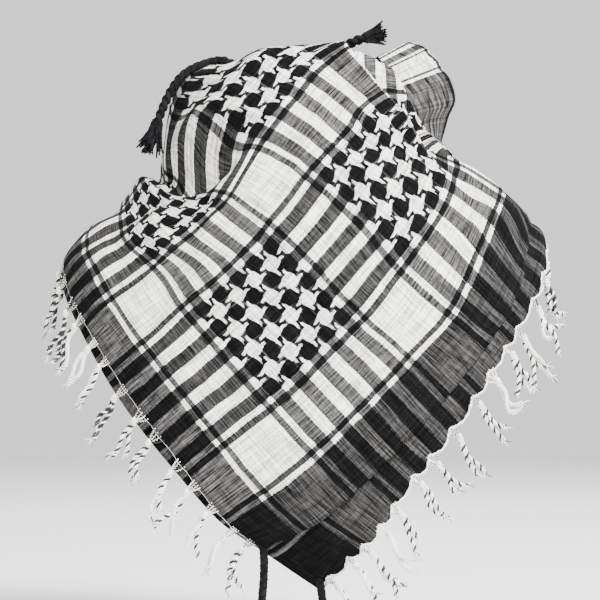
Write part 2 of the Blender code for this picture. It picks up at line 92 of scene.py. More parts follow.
# %% Ribs
# Ribs of the draped sheet. Each row is a course: down, x, y, z.
FRONT = (
    (0, -30, -42, 30),
    (90, -32, -46, 75),
    (170, -36, -58, 128),
    (215, -42, -76, 152),
    (245, -46, -92, 144),
    (280, -47, -104, 112),
    (330, -42, -113, 68),
    (400, -33, -128, 10),
    (470, -27, -140, -60),
    (540, -26, -147, -128),
    (600, -27, -149, -190),
    (660, -31, -149, -248),
    (740, -38, -136, -320),
    (790, -41, -116, -350),
    (860, -46, -86, -400),
)
RIGHT_CHEST = (
    (0, 10, -38, 30),
    (120, 14, -42, 98),
    (200, -2, -60, 150),
    (230, -4, -72, 154),
    (264, -4, -88, 136),
    (315, 24, -96, 98),
    (350, 47, -104, 63),
    (394, 68, -114, 25),
    (430, 90, -116, -13),
    (485, 94, -125, -74),
    (527, 100, -127, -119),
    (569, 103, -127, -157),
    (660, 98, -126, -250),
    (740, 96, -116, -328),
    (860, 92, -86, -410),
)
RIGHT_SHOULDER = (
    (0, 40, -30, 30),
    (120, 50, -32, 100),
    (210, 42, -44, 150),
    (264, 47, -66, 147),
    (304, 80, -66, 104),
    (340, 106, -60, 76),
    (372, 128, -48, 50),
    (400, 164, -30, 33),
    (432, 197, -18, 12),
    (466, 224, -10, -12),
    (490, 234, -14, -48),
    (520, 242, -22, -88),
    (560, 246, -26, -130),
    (600, 246, -24, -172),
    (700, 244, -20, -280),
    (860, 240, -16, -440),
)
RIGHT_BACK = (
    (0, 53, 6, 60),
    (120, 55, 8, 114),
    (175, 64, 5, 140),
    (212, 84, -1, 132),
    (254, 110, -2, 80),
    (283, 122, 10, 52),
    (330, 148, 40, 30),
    (400, 186, 74, -14),
    (520, 210, 90, -120),
    (860, 210, 90, -400),
)
RIGHT_NAPE = (
    (0, -26, 53, 100),
    (100, -26, 56, 118),
    (140, -26, 62, 125),
    (180, -26, 71, 117),
    (230, -26, 78, 86),
    (300, -26, 86, 38),
    (520, -26, 106, -120),
    (860, -26, 106, -400),
)
LEFT_CHEST = (
    (0, -60, -38, 35),
    (120, -62, -42, 100),
    (185, -68, -52, 138),
    (225, -82, -66, 134),
    (264, -94, -80, 107),
    (306, -112, -76, 72),
    (325, -108, -62, 28),
    (338, -102, -70, 4),
    (352, -104, -94, 6),
    (385, -116, -100, -8),
    (440, -142, -100, -41),
    (485, -141, -112, -69),
    (527, -149, -122, -106),
    (569, -151, -126, -144),
    (620, -152, -128, -190),
    (697, -150, -126, -262),
    (760, -150, -116, -318),
    (860, -148, -90, -410),
)
LEFT_SHOULDER = (
    (0, -80, -20, 40),
    (120, -84, -20, 100),
    (185, -92, -16, 140),
    (225, -118, -20, 128),
    (265, -136, -18, 88),
    (295, -142, -16, 44),
    (318, -138, -19, 16),
    (342, -158, -24, 22),
    (367, -171, -18, 11),
    (393, -184, -14, -6),
    (437, -216, -14, -24),
    (476, -242, -16, -52),
    (520, -250, -18, -86),
    (590, -250, -20, -140),
    (700, -250, -20, -235),
    (860, -250, -16, -385),
)
LEFT_BACK = (
    (0, -80, 46, 80),
    (120, -88, 52, 126),
    (190, -112, 46, 120),
    (254, -124, 50, 60),
    (283, -130, 56, 30),
    (330, -152, 66, 14),
    (400, -190, 80, -24),
    (520, -214, 94, -120),
    (860, -214, 94, -400),
)
LEFT_NAPE = (
    (0, 26, 76, 104),
    (100, 26, 79, 121),
    (140, 26, 86, 129),
    (180, 26, 96, 121),
    (230, 26, 105, 88),
    (300, 26, 112, 36),
    (520, 26, 130, -120),
    (860, 26, 130, -400),
)

# %% Where the ribs cross the cloth
# A rib follows one thread from the fold down to the shoulder,
# and below it keeps a steady distance from the middle.
SHOULDER_THREAD = 430.0
BACK_THREAD = 540.0
RIGHT_ARM_REACH = 340.0
LEFT_ARM_REACH = 318.0
CHEST_REACH = 130.0
BACK_REACH = 110.0  # more than the arm's
NAPE_REACH = 260.0
EASE = 60.0
LEAST_SPACING = 25.0


def thread_place(down, thread, reach, ease):
    """How far from the middle a thread lies on each course, held to reach below the shoulder."""
    place = (2 * thread - FOLD_SUM + down * ROOT2) / ROOT2
    start = reach - ease
    return np.where(place > start, start + ease * np.tanh((place - start) / ease), place)


def rib_places(down):
    """The ribs' distances from the middle, left to right, one row for each point."""
    columns = []
    for side, arm in ((-1, LEFT_ARM_REACH), (1, RIGHT_ARM_REACH)):
        shoulder = thread_place(down, SHOULDER_THREAD, arm, EASE)
        chest = shoulder / 2
        start = CHEST_REACH - EASE / 2
        eased = start + EASE / 2 * np.tanh((chest - start) / (EASE / 2))
        chest = np.where(chest > start, eased, chest)
        back = thread_place(down, BACK_THREAD, arm + BACK_REACH, EASE)
        nape = thread_place(down, CUT, arm + NAPE_REACH, EASE)
        chest = np.maximum(chest, LEAST_SPACING)
        shoulder = np.maximum(shoulder, chest + LEAST_SPACING)
        back = np.maximum(back, shoulder + LEAST_SPACING)
        nape = np.maximum(nape, back + LEAST_SPACING)
        columns.append([side * place for place in (chest, shoulder, back, nape)])
    left, right = columns
    return np.stack(left[::-1] + [np.zeros_like(down)] + right, axis=1)


def hermite(before, after, leave, arrive, width, t):
    return (
        (2 * t**3 - 3 * t**2 + 1) * before
        + (t**3 - 2 * t**2 + t) * width * leave
        + (3 * t**2 - 2 * t**3) * after
        + (t**3 - t**2) * width * arrive
    )


def rib_points(rows, down):
    """Points on a rib at these courses, on a smooth curve through its rows."""
    rows = np.array(rows, float)
    knots, points = rows[:, 0], rows[:, 1:]
    width = np.diff(knots)[:, None]
    slope = np.diff(points, axis=0) / width
    lean = np.empty_like(points)
    lean[0], lean[-1] = slope[0], slope[-1]
    lean[1:-1] = (width[1:] * slope[:-1] + width[:-1] * slope[1:]) / (width[1:] + width[:-1])
    k = np.clip(np.searchsorted(knots, down, side="right") - 1, 0, len(knots) - 2)
    t = ((down - knots[k]) / width[k, 0])[:, None]
    return hermite(points[k], points[k + 1], lean[k], lean[k + 1], width[k], t)


# %% A surface through the ribs
RIBS = (
    LEFT_NAPE,
    LEFT_BACK,
    LEFT_SHOULDER,
    LEFT_CHEST,
    FRONT,
    RIGHT_CHEST,
    RIGHT_SHOULDER,
    RIGHT_BACK,
    RIGHT_NAPE,
)
MOST_STRETCH = 1.05  # the cloth's own length along a course, but for the give on its bias
SLACK = 1.2


def loft(ribs, knots, across, down):
    """Points on a smooth surface through the ribs, which are crossed at their knots."""
    points = np.stack([rib_points(rows, down) for rows in ribs], axis=1)
    width = np.diff(knots, axis=1)[:, :, None]
    slope = np.diff(points, axis=1) / width
    lean = np.empty_like(points)
    lean[:, 0], lean[:, -1] = slope[:, 0], slope[:, -1]
    weighed = width[:, 1:] * slope[:, :-1] + width[:, :-1] * slope[:, 1:]
    lean[:, 1:-1] = weighed / (width[:, 1:] + width[:, :-1])
    stretch = np.linalg.norm(slope, axis=2)
    least = np.minimum(stretch[:, 1:], stretch[:, :-1])
    nearest = np.concatenate([stretch[:, :1], least, stretch[:, -1:]], axis=1)
    size = np.minimum(MOST_STRETCH, SLACK * nearest) / np.linalg.norm(lean, axis=2)
    lean = lean * size[:, :, None]
    k = np.clip((across[:, None] >= knots).sum(axis=1) - 1, 0, len(ribs) - 2)
    row = np.arange(len(k))
    t = ((across - knots[row, k]) / width[row, k, 0])[:, None]
    leave, arrive = lean[row, k], lean[row, k + 1]
    return hermite(points[row, k], points[row, k + 1], leave, arrive, width[row, k], t)


def form(a, b):
    """The draped sheet without its folds, in millimetres, for arrays of one shape."""
    a, b = np.broadcast_arrays(np.asarray(a, float), np.asarray(b, float))
    along = ((b - a) / ROOT2).ravel()
    down = ((FOLD_SUM - a - b) / ROOT2).ravel()
    knots = rib_places(down)
    placed = loft(RIBS, knots, along, down) + neck_folds(along, down, knots)
    return placed.reshape(a.shape + (3,))


# %% Gathers at the nape
FOLD_COUNT = 3
FOLD_DEPTH = 3.5
FOLDED_DEPTH = 300.0  # of cloth below the fold line


def neck_folds(along, down, knots):
    """Waves across the band behind the neck, which grow from nothing at the side ribs."""
    far = np.maximum(
        (along - knots[:, -2]) / (knots[:, -1] - knots[:, -2]),
        (knots[:, 1] - along) / (knots[:, 1] - knots[:, 0]),
    )
    grown = np.clip(far, 0, 1) ** 2 * (3 - 2 * np.clip(far, 0, 1))
    wave = np.sin(2 * math.pi * FOLD_COUNT * down / FOLDED_DEPTH)
    deep = FOLD_DEPTH * grown * wave * np.clip((down - 120) / 80, 0, 1)
    return np.stack([np.zeros_like(deep), deep, np.zeros_like(deep)], axis=1)


# %% Folds of the sheet
# Rows: from a, b, to a, b, height, half width. A trough's height is
# negative.
FOLDS = (
    (390, 420, 140, 420, 4, 20),  # the right pleat's ridge, and the trough behind it
    (390, 464, 150, 460, -4, 20),
    (300, 534, 180, 534, 4, 18),  # the second ridge, and the trough behind it
    (240, 576, 120, 570, -3, 20),
    (316, 400, 316, 280, 4, 17),  # the crease left of the chest, and the hollow beside it
    (362, 400, 366, 290, -4, 20),
    (400, 214, 270, 232, -4, 18),  # gathers under the left rim
    (410, 168, 300, 150, 4, 18),
    (400, 110, 290, 70, -4, 20),
    (470, 300, 480, 60, -4, 22),  # the left shoulder
    (520, 260, 530, 30, 4, 22),
    (585, 300, 590, 30, -5, 22),
    (260, 470, 40, 490, -4, 22),  # the right shoulder
    (190, 604, 40, 590, 4, 22),
    (190, 655, 30, 640, -4, 22),
    (150, 330, 60, 200, 3, 26),  # slack across the chest
    (250, 60, 120, 50, 3, 26),
    (60, 60, 20, 20, -4, 26),
)
# Finer creases, which the solids leave out.
CREASES = (
    (330, 250, 240, 110, 3.8, 9),  # fan from the gather under the left rim
    (352, 236, 296, 60, -4.0, 9),
    (372, 226, 350, 40, 3.6, 10),
    (392, 214, 392, 20, -4.2, 9),
    (306, 262, 190, 190, -3.2, 9),
    (430, 250, 450, 150, 4.0, 9),
    (446, 280, 500, 180, -3.6, 10),
    (470, 250, 560, 120, 3.4, 10),
    (540, 200, 640, 100, -3.6, 9),
    (600, 250, 660, 60, 4.0, 11),
    (336, 400, 330, 300, -3.0, 8),  # facet left of the chest
    (372, 404, 380, 320, 2.6, 8),
    (400, 390, 410, 330, -3.0, 9),
    (286, 380, 250, 250, 2.8, 9),  # from the neck down the chest
    (240, 400, 200, 300, -2.8, 10),
    (210, 330, 110, 250, 2.6, 12),
    (180, 220, 60, 130, -2.8, 14),
    (120, 330, 20, 300, 3.2, 11),
    (200, 120, 60, 90, 3.0, 13),
    (300, 120, 200, 20, -3.2, 12),
    (90, 200, 15, 120, -2.6, 12),
    (150, 424, 60, 380, -3.6, 10),  # under the right pleat
    (152, 446, 30, 430, 3.6, 10),
    (148, 470, 60, 500, -3.4, 9),
    (150, 500, 20, 560, 3.8, 11),
    (120, 560, 10, 600, -3.8, 11),
    (160, 590, 60, 660, 3.4, 11),
    (60, 480, 5, 470, 3.2, 11),
    (350, 470, 200, 446, 2.4, 8),  # the facet beside the pleat
    (360, 500, 220, 480, -2.4, 8),
    (270, 300, 150, 290, -2.2, 13),  # slack between them
    (150, 150, 30, 180, 2.4, 15),
    (230, 60, 90, 20, -2.4, 12),
    (330, 160, 250, 30, 2.6, 10),
    (100, 40, 20, 90, 2.2, 13),
)
STEP = 1.5  # for slopes, along the threads


def unit(vectors):
    return vectors / np.linalg.norm(vectors, axis=-1, keepdims=True)


def normals(surface, u, v):
    """Unit normals of a surface of two numbers, on the side away from the wearer."""
    across_u = surface(u + STEP, v) - surface(u - STEP, v)
    across_v = surface(u, v + STEP) - surface(u, v - STEP)
    return unit(np.cross(across_v, across_u))


def folded(a, b):
    """How far the folds raise the sheet at (a, b). Each fades out towards its ends."""
    raised = np.zeros(np.broadcast(a, b).shape)
    for from_a, from_b, to_a, to_b, height, half in FOLDS + CREASES:
        run = np.array((to_a - from_a, to_b - from_b), float)
        length = np.linalg.norm(run)
        run /= length
        along = (a - from_a) * run[0] + (b - from_b) * run[1]
        beside = (a - from_a) * run[1] - (b - from_b) * run[0]
        ends = np.clip(0.5 - np.abs(along / length - 0.5), -0.2, 0.25) + 0.2
        raised += height * np.exp(-((beside / half) ** 2)) * (ends / 0.45) ** 2
    return raised


# Pleats, whose edge stands over what is folded under it. Rows: b of the edge, from a, to a,
# overhang, height.
PLEATS = (
    (429.5, 150, 470, 5.0, 5.0),  # the right pleat
    (538.0, 110, 420, 4.0, 4.0),  # the ridge behind it
)
PLEAT_WIDTH = 9.0


def pleated(a, b):
    """(how far towards +b, how far outwards) the pleats move the sheet at (a, b)."""
    over, out = np.zeros(np.broadcast(a, b).shape), np.zeros(np.broadcast(a, b).shape)
    for edge, start, end, overhang, height in PLEATS:
        t = (b - edge) / PLEAT_WIDTH
        here = np.clip((a - start) / 60, 0, 1) * np.clip((end - a) / 60, 0, 1)
        wave = here * t * np.exp(-(t**2))
        over = over - overhang * 2.33 * wave
        out = out - height * 2.33 * wave
    return over, out


# The under layer's fringed hem stands away from the right shoulder, past the plain hem above it.
FLARE = 15.0
FLARE_RUN = 24.0
FLARE_SPAN = (340.0, 550.0)


def flare(a, b):
    """How far the cloth past the outer layer's plain hem stands out at (a, b)."""
    past_hem = np.clip(-a / FLARE_RUN, 0, 1)
    along = np.clip((b - FLARE_SPAN[0]) / (FLARE_SPAN[1] - FLARE_SPAN[0]), 0, 1)
    return FLARE * past_hem**2 * (3 - 2 * past_hem) * np.sin(math.pi * along) ** 2


def drape(a, b):
    """The outer face of the draped sheet at (a, b)."""
    a, b = np.asarray(a, float), np.asarray(b, float)
    over, out = pleated(a, b)
    placed = form(a, b + over)
    return placed + (folded(a, b) + flare(a, b) + out)[..., None] * normals(form, a, b)


def layer(surface, u, v, depth):
    """Points this deep under a surface."""
    return surface(u, v) - depth * normals(surface, u, v)


# %% [markdown]
# The two ends leave the sheet at the nape. The left one goes round the outside and forward at
# the right of the neck. The right one crosses inside it to the left. Gathered cloth could be the
# sheet carried on, but a band swept along a line keeps clear of the other end more easily.

# %% The two ends
# Each line runs from the nape to the end: how far, x, y, z.
END_KNOTS = (0.0, 60.0, 120.0, 170.0, 230.0, 293.0)  # where they cross the gathered cloth
LEFT_END = (
    (
        (0, 28, 76, 105), (50, 58, 72, 126), (95, 80, 52, 140),
        (140, 88, 28, 146), (175, 66, 2, 140),
    ),
    (
        (0, 28, 78, 115), (50, 60, 78, 140), (95, 86, 56, 155),
        (140, 94, 28, 160), (175, 70, -1, 148),
    ),
    (
        (0, 28, 83, 127), (50, 68, 92, 150), (95, 102, 66, 162),
        (140, 112, 30, 166), (175, 80, -3, 147),
    ),
    (
        (0, 28, 94, 124), (50, 80, 106, 134), (95, 122, 74, 144),
        (140, 136, 32, 150), (175, 90, -3, 128),
    ),
    (
        (0, 28, 105, 88), (50, 89, 114, 92), (95, 136, 76, 104),
        (140, 152, 34, 110), (175, 104, 0, 95),
    ),
    (
        (0, 28, 112, 38), (50, 84, 112, 46), (95, 128, 76, 58),
        (140, 144, 40, 62), (175, 122, 6, 60),
    ),
)
RIGHT_END = (
    ((0, -28, 52, 101), (40, -44, 38, 108), (85, -60, 22, 122), (130, -63, 2, 134)),
    ((0, -28, 54, 110), (40, -45, 39, 117), (85, -61, 23, 128), (130, -65, 2, 138)),
    ((0, -28, 58, 122), (40, -48, 44, 126), (85, -64, 26, 133), (130, -68, 2, 140)),
    ((0, -28, 61, 120), (40, -50, 47, 118), (85, -67, 29, 122), (130, -70, 2, 131)),
    ((0, -28, 70, 86), (40, -53, 53, 86), (85, -68, 31, 98), (130, -70, 2, 118)),
    ((0, -28, 80, 40), (40, -54, 60, 48), (85, -66, 32, 70), (130, -66, 2, 102)),
)
LEFT_END_LENGTH = 175.0
RIGHT_END_LENGTH = 130.0
END_FOLD_DEPTH = 3.0
END_CREASE = 1.5  # finer ones


def tied_end(lines, towards):
    """The surface of a tied end: u across the gathered cloth, v along it from the nape."""

    def surface(u, v):
        across, along = np.broadcast_arrays(np.asarray(u, float), np.asarray(v, float))
        shape = across.shape
        across, along = across.ravel(), along.ravel()
        knots = np.tile(END_KNOTS, (len(across), 1))
        placed = loft(lines, knots, across, along)
        wave = np.sin(2 * math.pi * FOLD_COUNT * across / FOLDED_DEPTH)
        wave *= np.clip((across - 120) / 80, 0, 1)
        fine = np.sin(across / 6.1 + 1.5 * np.sin(along / 37) + 2.1 * np.sin(across / 31))
        uneven = 0.6 + 0.4 * np.sin(across / 19 + along / 23)
        grown = np.clip((across - 40) / 60, 0, 1)
        wave = END_FOLD_DEPTH * wave + END_CREASE * fine * uneven * grown
        away = placed * (1, 1, 0)
        placed = placed + wave[:, None] * unit(away)
        return placed.reshape(shape + (3,))

    if towards < 0:
        return lambda u, v: surface(u, -v)
    return surface


# %% How the under layer shows
# Past the hems of the layer above. Rows: how far along, how far out.
UNDER_PLAIN_HEM = ((-80, -7), (0, -3), (80, 1), (150, 6), (240, 9), (330, 9), (700, 9))
UNDER_FRINGED_HEM = (
    (-10, 71),
    (7, 71),
    (60, 52),
    (150, 28),
    (300, 16),
    (450, 20),
    (560, 28),
    (700, 30),
)


def past(rows, place):
    """How far out a hem is at this place along it."""
    places, outs = zip(*rows)
    return np.interp(place, places, outs)


# %% [markdown]
# ## The cloth
#
# Each stretch is a thin closed shell. Its UV map holds (a, b) in metres, so that the woven
# pattern is drawn in the cloth's own millimetres wherever it is draped. A single sheet would do
# from afar, but a hem seen close has a thickness, so both faces and the rim are built.

# %% Shells
def grid_cells(columns, rows, most=None):
    """Cells of a grid, facing away from the wearer, cut off along a diagonal if most is set."""
    cells = []
    for i in range(columns):
        for j in range(rows):
            if most is None or i + j + 2 <= most:
                cells.append(((i, j), (i, j + 1), (i + 1, j + 1), (i + 1, j)))
            elif i + j + 1 <= most:
                cells.append(((i, j), (i, j + 1), (i + 1, j)))
    return cells


def shell(name, surface, cells, place, cloth, depth=0.0):
    """A thin closed shell on a surface. place gives (u, v) of a grid corner, and cloth its
    (a, b) in a cell whose middle is given too, as a pleat hides what lies between two cells."""
    keys = sorted({key for cell in cells for key in cell})
    order = {key: k for k, key in enumerate(keys)}
    u, v = np.array([place(*key) for key in keys], float).T
    points = np.concatenate([layer(surface, u, v, depth), layer(surface, u, v, depth + CLOTH)])
    count = len(keys)
    outer = [tuple(order[key] for key in cell) for cell in cells]
    edges = {(face[k - 1], face[k]) for face in outer for k in range(len(face))}
    inner = [tuple(count + k for k in reversed(face)) for face in outer]
    rim = [(q, p, count + p, count + q) for p, q in edges if (q, p) not in edges]
    mesh = bpy.data.meshes.new(name)
    mesh.from_pydata((points * MM).tolist(), [], outer + inner + sorted(rim))
    corners, sizes = np.empty(len(mesh.loops), int), np.empty(len(mesh.polygons), int)
    mesh.loops.foreach_get("vertex_index", corners)
    mesh.polygons.foreach_get("loop_total", sizes)
    u, v = u[corners % count], v[corners % count]
    face = np.repeat(np.arange(len(sizes)), sizes)
    middle_v = (np.bincount(face, v) / sizes)[face]
    measured = np.stack(cloth(u, v, points[corners % count], middle_v), axis=1) * MM
    chart = mesh.uv_layers.new(name="cloth")
    chart.data.foreach_set("uv", measured.ravel())
    mesh.shade_smooth()
    made = bpy.data.objects.new(name, mesh)
    bpy.context.collection.objects.link(made)
    print(f"{name}: {len(mesh.polygons)} faces")
    return made


# %% [markdown]
# The hems run a little past the solids' walls, over the strips that carry the fringe. Each
# tassel pulls the cloth, so a fringed hem is scalloped: the under layer's, which hangs free,
# much more than the outer one's.

# %% Hems
TASSEL_PITCH = 30.0
TASSEL_ROOT = 10.0
STRIP = 3.0
STRIP_LINES = 28
STEP_OUT = SEAM_GAP + STRIP


def tassel_places(rng):
    """Middles of the tassels' roots along a hem, each within one cell of the wall's grid."""
    places = []
    for k in range(int(STRIP_LINES * PITCH / TASSEL_PITCH)):
        middle = (k + 0.5) * TASSEL_PITCH + rng.uniform(-3, 3)
        cell = math.floor(middle / PITCH) * PITCH
        room = TASSEL_ROOT / 2 + 1
        places.append(min(max(middle, cell + room), cell + PITCH - room))
    return places


OUTER_TASSELS = tassel_places(random.Random(3))
UNDER_TASSELS = tassel_places(random.Random(5))


def scallop(place, tassels, depth):
    """How far a hem is drawn in, from nothing at a tassel to this depth between two."""
    k = int(np.searchsorted(tassels, place))
    before = tassels[k - 1] if k else tassels[0] - TASSEL_PITCH
    after = tassels[k] if k < len(tassels) else tassels[-1] + TASSEL_PITCH
    part = min(max((place - before) / (after - before), 0.0), 1.0)
    return depth * math.sin(math.pi * part)


print("tassels:", len(OUTER_TASSELS) + len(UNDER_TASSELS))

# %% The outer layer
FINE = 4.6  # cell of the shells' grids
OUTER_SCALLOP = 1.6


def outer_place(i, j):
    a, b = FINE * i, FINE * j
    if j == 0:
        b = scallop(a, OUTER_TASSELS, OUTER_SCALLOP) - STEP_OUT
    return a, b


FACET = (429.5, 538.0)  # b of the right pleat's edge, and of the ridge behind it
FACET_FOOT = 150.0  # a where the pleat opens out
FACET_CORNER = (40.0, 109.0)  # x and z of the point below, in the facet between the two
FACET_CLOTH = (246.0, 499.5)  # its a and b
FACET_GATHER = 1.15


def outer_measured(a, b, at, middle_b):
    """The facet behind the right pleat is turned: its threads run upright and level."""
    turned_a = FACET_CLOTH[0] + FACET_GATHER * (at[:, 2] - FACET_CORNER[1])
    turned_b = FACET_CLOTH[1] + FACET_GATHER * (at[:, 0] - FACET_CORNER[0])
    inside = (middle_b > FACET[0]) & (middle_b < FACET[1])
    part = np.where(inside, np.clip((a - FACET_FOOT) / 25, 0, 1), 0.0)
    return a + (turned_a - a) * part, b + (turned_b - b) * part


RIPPLE = 3.2  # of the plain hem, clear of the layer below
RIPPLE_REACH = 9.0


def rippled(a, b):
    """The draped sheet, with its plain hem unevenly lifted."""
    lift = 0.5 + 0.5 * np.sin(b / 5.3 + 1.4 * np.sin(b / 23.0) + 0.8 * np.sin(b / 61.0))
    lift = RIPPLE * lift * np.exp(-((np.asarray(a, float) / RIPPLE_REACH) ** 2))
    return drape(a, b) + lift[..., None] * normals(form, a, b)


columns = round(CUT / FINE)
cells = grid_cells(columns, columns, round(FOLD_SUM / FINE))
outer_cloth = shell("outer_layer_cloth", rippled, cells, outer_place, outer_measured)

# %% The under layer
UNDER_SCALLOP = -7.5
HEM_COLUMNS = 8
PLAIN_HEM_MORE = 10.0  # clear of the outer layer's strip
UNDER_SHIFT = -22.0  # of its threads along the fringed hem


def under_place(i, j):
    b = FINE * j
    fringed = -past(UNDER_FRINGED_HEM, max(b, 7.0)) - STEP_OUT
    fringed += scallop(b, UNDER_TASSELS, UNDER_SCALLOP)
    a = fringed * (1 - i / HEM_COLUMNS) if i < HEM_COLUMNS else FINE * (i - HEM_COLUMNS)
    if j < 3:
        b = b * j / 3 - (past(UNDER_PLAIN_HEM, a) + PLAIN_HEM_MORE) * (1 - j / 3)
    return a, b


def under_measured(a, b, *_):
    """The under layer's threads follow its own hems."""
    return a + past(UNDER_FRINGED_HEM, b), b + past(UNDER_PLAIN_HEM, a) + UNDER_SHIFT


columns = round(HIDDEN_SUM / FINE)
cells = grid_cells(columns + HEM_COLUMNS, columns - 5, columns + HEM_COLUMNS)
under_depth = WALL + LAYER_GAP
under_cloth = shell("under_layer_cloth", drape, cells, under_place, under_measured, under_depth)

# %% The two ends' cloth
END_FINE = 3.6
END_TURNED = ((0.0, 143.0, 190.0, 245.0, 293.0), (264.0, 121.0, 46.0, 4.0, -14.0))  # u, from hem


def end_cloth(name, lines, length, towards):
    """A tied end. Its threads go on from where the sheet was cut."""
    across = END_KNOTS[-1]
    columns, rows = round(across / END_FINE), round(length / END_FINE)

    def place(i, j):
        return across * i / columns, towards * length * j / rows

    def cloth(u, v, *_):
        turned = np.clip(np.abs(v) / 90, 0, 1)
        far = CUT + np.abs(v) - 13 * turned
        near = (across - u) * ROOT2 * (1 - turned) + np.interp(u, *END_TURNED) * turned
        return (far, near) if towards > 0 else (near, far)

    cells = grid_cells(columns, rows)
    if towards < 0:
        cells = [cell[::-1] for cell in cells]
    return shell(name, tied_end(lines, towards), cells, place, cloth)


left_cloth = end_cloth("left_end_cloth", LEFT_END, LEFT_END_LENGTH, 1)
right_cloth = end_cloth("right_end_cloth", RIGHT_END, RIGHT_END_LENGTH, -1)

# %% [markdown]
# ## The woven pattern
#
# A keffiyeh's warp and weft carry the same stripes. Where two white stripes cross the cloth is
# white, where two black ones cross it is black, and elsewhere the threads mix to grey. Where
# two bands of bars cross, extra weft draws a raised hound's-tooth. A pattern painted on the
# cloth would blur close up, so arithmetic on a and b draws each stripe, sharp at any distance.

# %% Colours
def linear(code):
    """A linear colour, with its alpha, from sRGB hex."""
    values = [int(code[k : k + 2], 16) / 255 for k in (1, 3, 5)]
    curve = [v / 12.92 if v <= 0.04045 else ((v + 0.055) / 1.055) ** 2.4 for v in values]
    return (*curve, 1.0)


WHITE_COTTON = linear("#edeae6")
BLACK_COTTON = linear("#0b0b0c")
FLOOR_WHITE = linear("#e4e4e4")


# %% Adding a node
def node(tree, kind, *values, **settings):
    """Adds a node, named by its type without ShaderNode, and by its operation if it has one.
    values fill its inputs in order, or one dict does by name or number. Each is a plain value,
    an output, or a node, which stands for its first output."""
    name, _, operation = kind.partition(" ")
    made = tree.nodes.new(name if "Node" in name else "ShaderNode" + name)
    if operation:
        made.operation = operation
    for setting, value in settings.items():
        setattr(made, setting, value)
    inputs = values[0] if values and isinstance(values[0], dict) else dict(enumerate(values))
    for socket, value in inputs.items():
        if isinstance(value, bpy.types.Node):
            value = value.outputs[0]
        if isinstance(value, bpy.types.NodeSocket):
            tree.links.new(value, made.inputs[socket])
        else:
            made.inputs[socket].default_value = value
    return made


# %% [markdown]
# One repeat is a white band, a black and a white line, five black bars with white between, and
# the two lines again: 189 mm.

# %% Stripes
WHITE_BAND = 53.0
LINE_BLACK = 6.5
LINE_WHITE = 6.0
BAR_BLACK = 13.0
BAR_WHITE = 11.5
BAR_COUNT = 5
BORDER_A = 50.0
BORDER_B = 43.0
REPEATS = 5
BARS = BAR_COUNT * BAR_BLACK + (BAR_COUNT - 1) * BAR_WHITE
REPEAT = WHITE_BAND + 2 * (LINE_BLACK + LINE_WHITE) + BARS
BARS_START = WHITE_BAND + LINE_BLACK + LINE_WHITE


def stripe_stops():
    """Where the shade changes in one repeat: (place, white or black)."""
    stops = [(0.0, 1), (WHITE_BAND, 0), (WHITE_BAND + LINE_BLACK, 1)]
    place = BARS_START
    for _ in range(BAR_COUNT):
        stops += [(place, 0), (place + BAR_BLACK, 1)]
        place += BAR_BLACK + BAR_WHITE
    return stops + [(REPEAT - LINE_BLACK, 0)]


def stripes(tree, place, border):
    """(shade, in the bars, place in a bar's own repeat) of threads at this place."""
    first = border + LINE_WHITE + LINE_BLACK
    turn = node(tree, "Math DIVIDE", node(tree, "Math SUBTRACT", place, first), REPEAT)
    turn = node(tree, "Math FRACT", node(tree, "Math ADD", turn, 1.0))
    ramp = node(tree, "ValToRGB", turn)
    ramp.color_ramp.interpolation = "CONSTANT"
    elements = ramp.color_ramp.elements
    while len(elements) > 1:
        elements.remove(elements[-1])
    for k, (stop, shade) in enumerate(stripe_stops()):
        element = elements[0] if k == 0 else elements.new(stop / REPEAT)
        element.position = stop / REPEAT
        element.color = (shade, shade, shade, 1)
    middle = border + (2 * (LINE_WHITE + LINE_BLACK) + REPEATS * REPEAT + WHITE_BAND) / 2
    from_middle = node(tree, "Math ABSOLUTE", node(tree, "Math SUBTRACT", place, middle))
    inside = node(tree, "Math LESS_THAN", from_middle, middle - border)
    shade = node(tree, "Math MULTIPLY", ramp, inside)
    after = node(tree, "Math GREATER_THAN", turn, BARS_START / REPEAT)
    before = node(tree, "Math LESS_THAN", turn, (BARS_START + BARS) / REPEAT)
    in_bars = node(tree, "Math MULTIPLY", node(tree, "Math MULTIPLY", after, before), inside)
    along = node(tree, "Math SUBTRACT", node(tree, "Math MULTIPLY", turn, REPEAT), BARS_START)
    bar = node(tree, "Math FRACT", node(tree, "Math DIVIDE", along, BAR_BLACK + BAR_WHITE))
    return shade, in_bars, bar


print(f"repeat {REPEAT:g} mm, bars {BARS:g} mm")

# %% [markdown]
# In the hound's-tooth, each white square reaches an arm into the four grey squares round it,
# always on its clockwise side, and the black squares reach between them.

# %% Hound's-tooth
BLACK_PART = BAR_BLACK / (BAR_BLACK + BAR_WHITE)
ARM_WIDE = 0.30
ARM_POINT = 0.20
ARM_LONG = 0.56
ARM_LOOSE = 0.9  # how unevenly its threads end
BLACK_BULGE = 0.17  # of a black square, into the squares beside it
WHITE_BULGE = 0.12


def bow(tree, place, height):
    """An arc of this height over a square's side."""
    rise = node(tree, "Math MULTIPLY", node(tree, "Math SUBTRACT", 1.0, place), place)
    return node(tree, "Math MULTIPLY", rise, 4 * height)


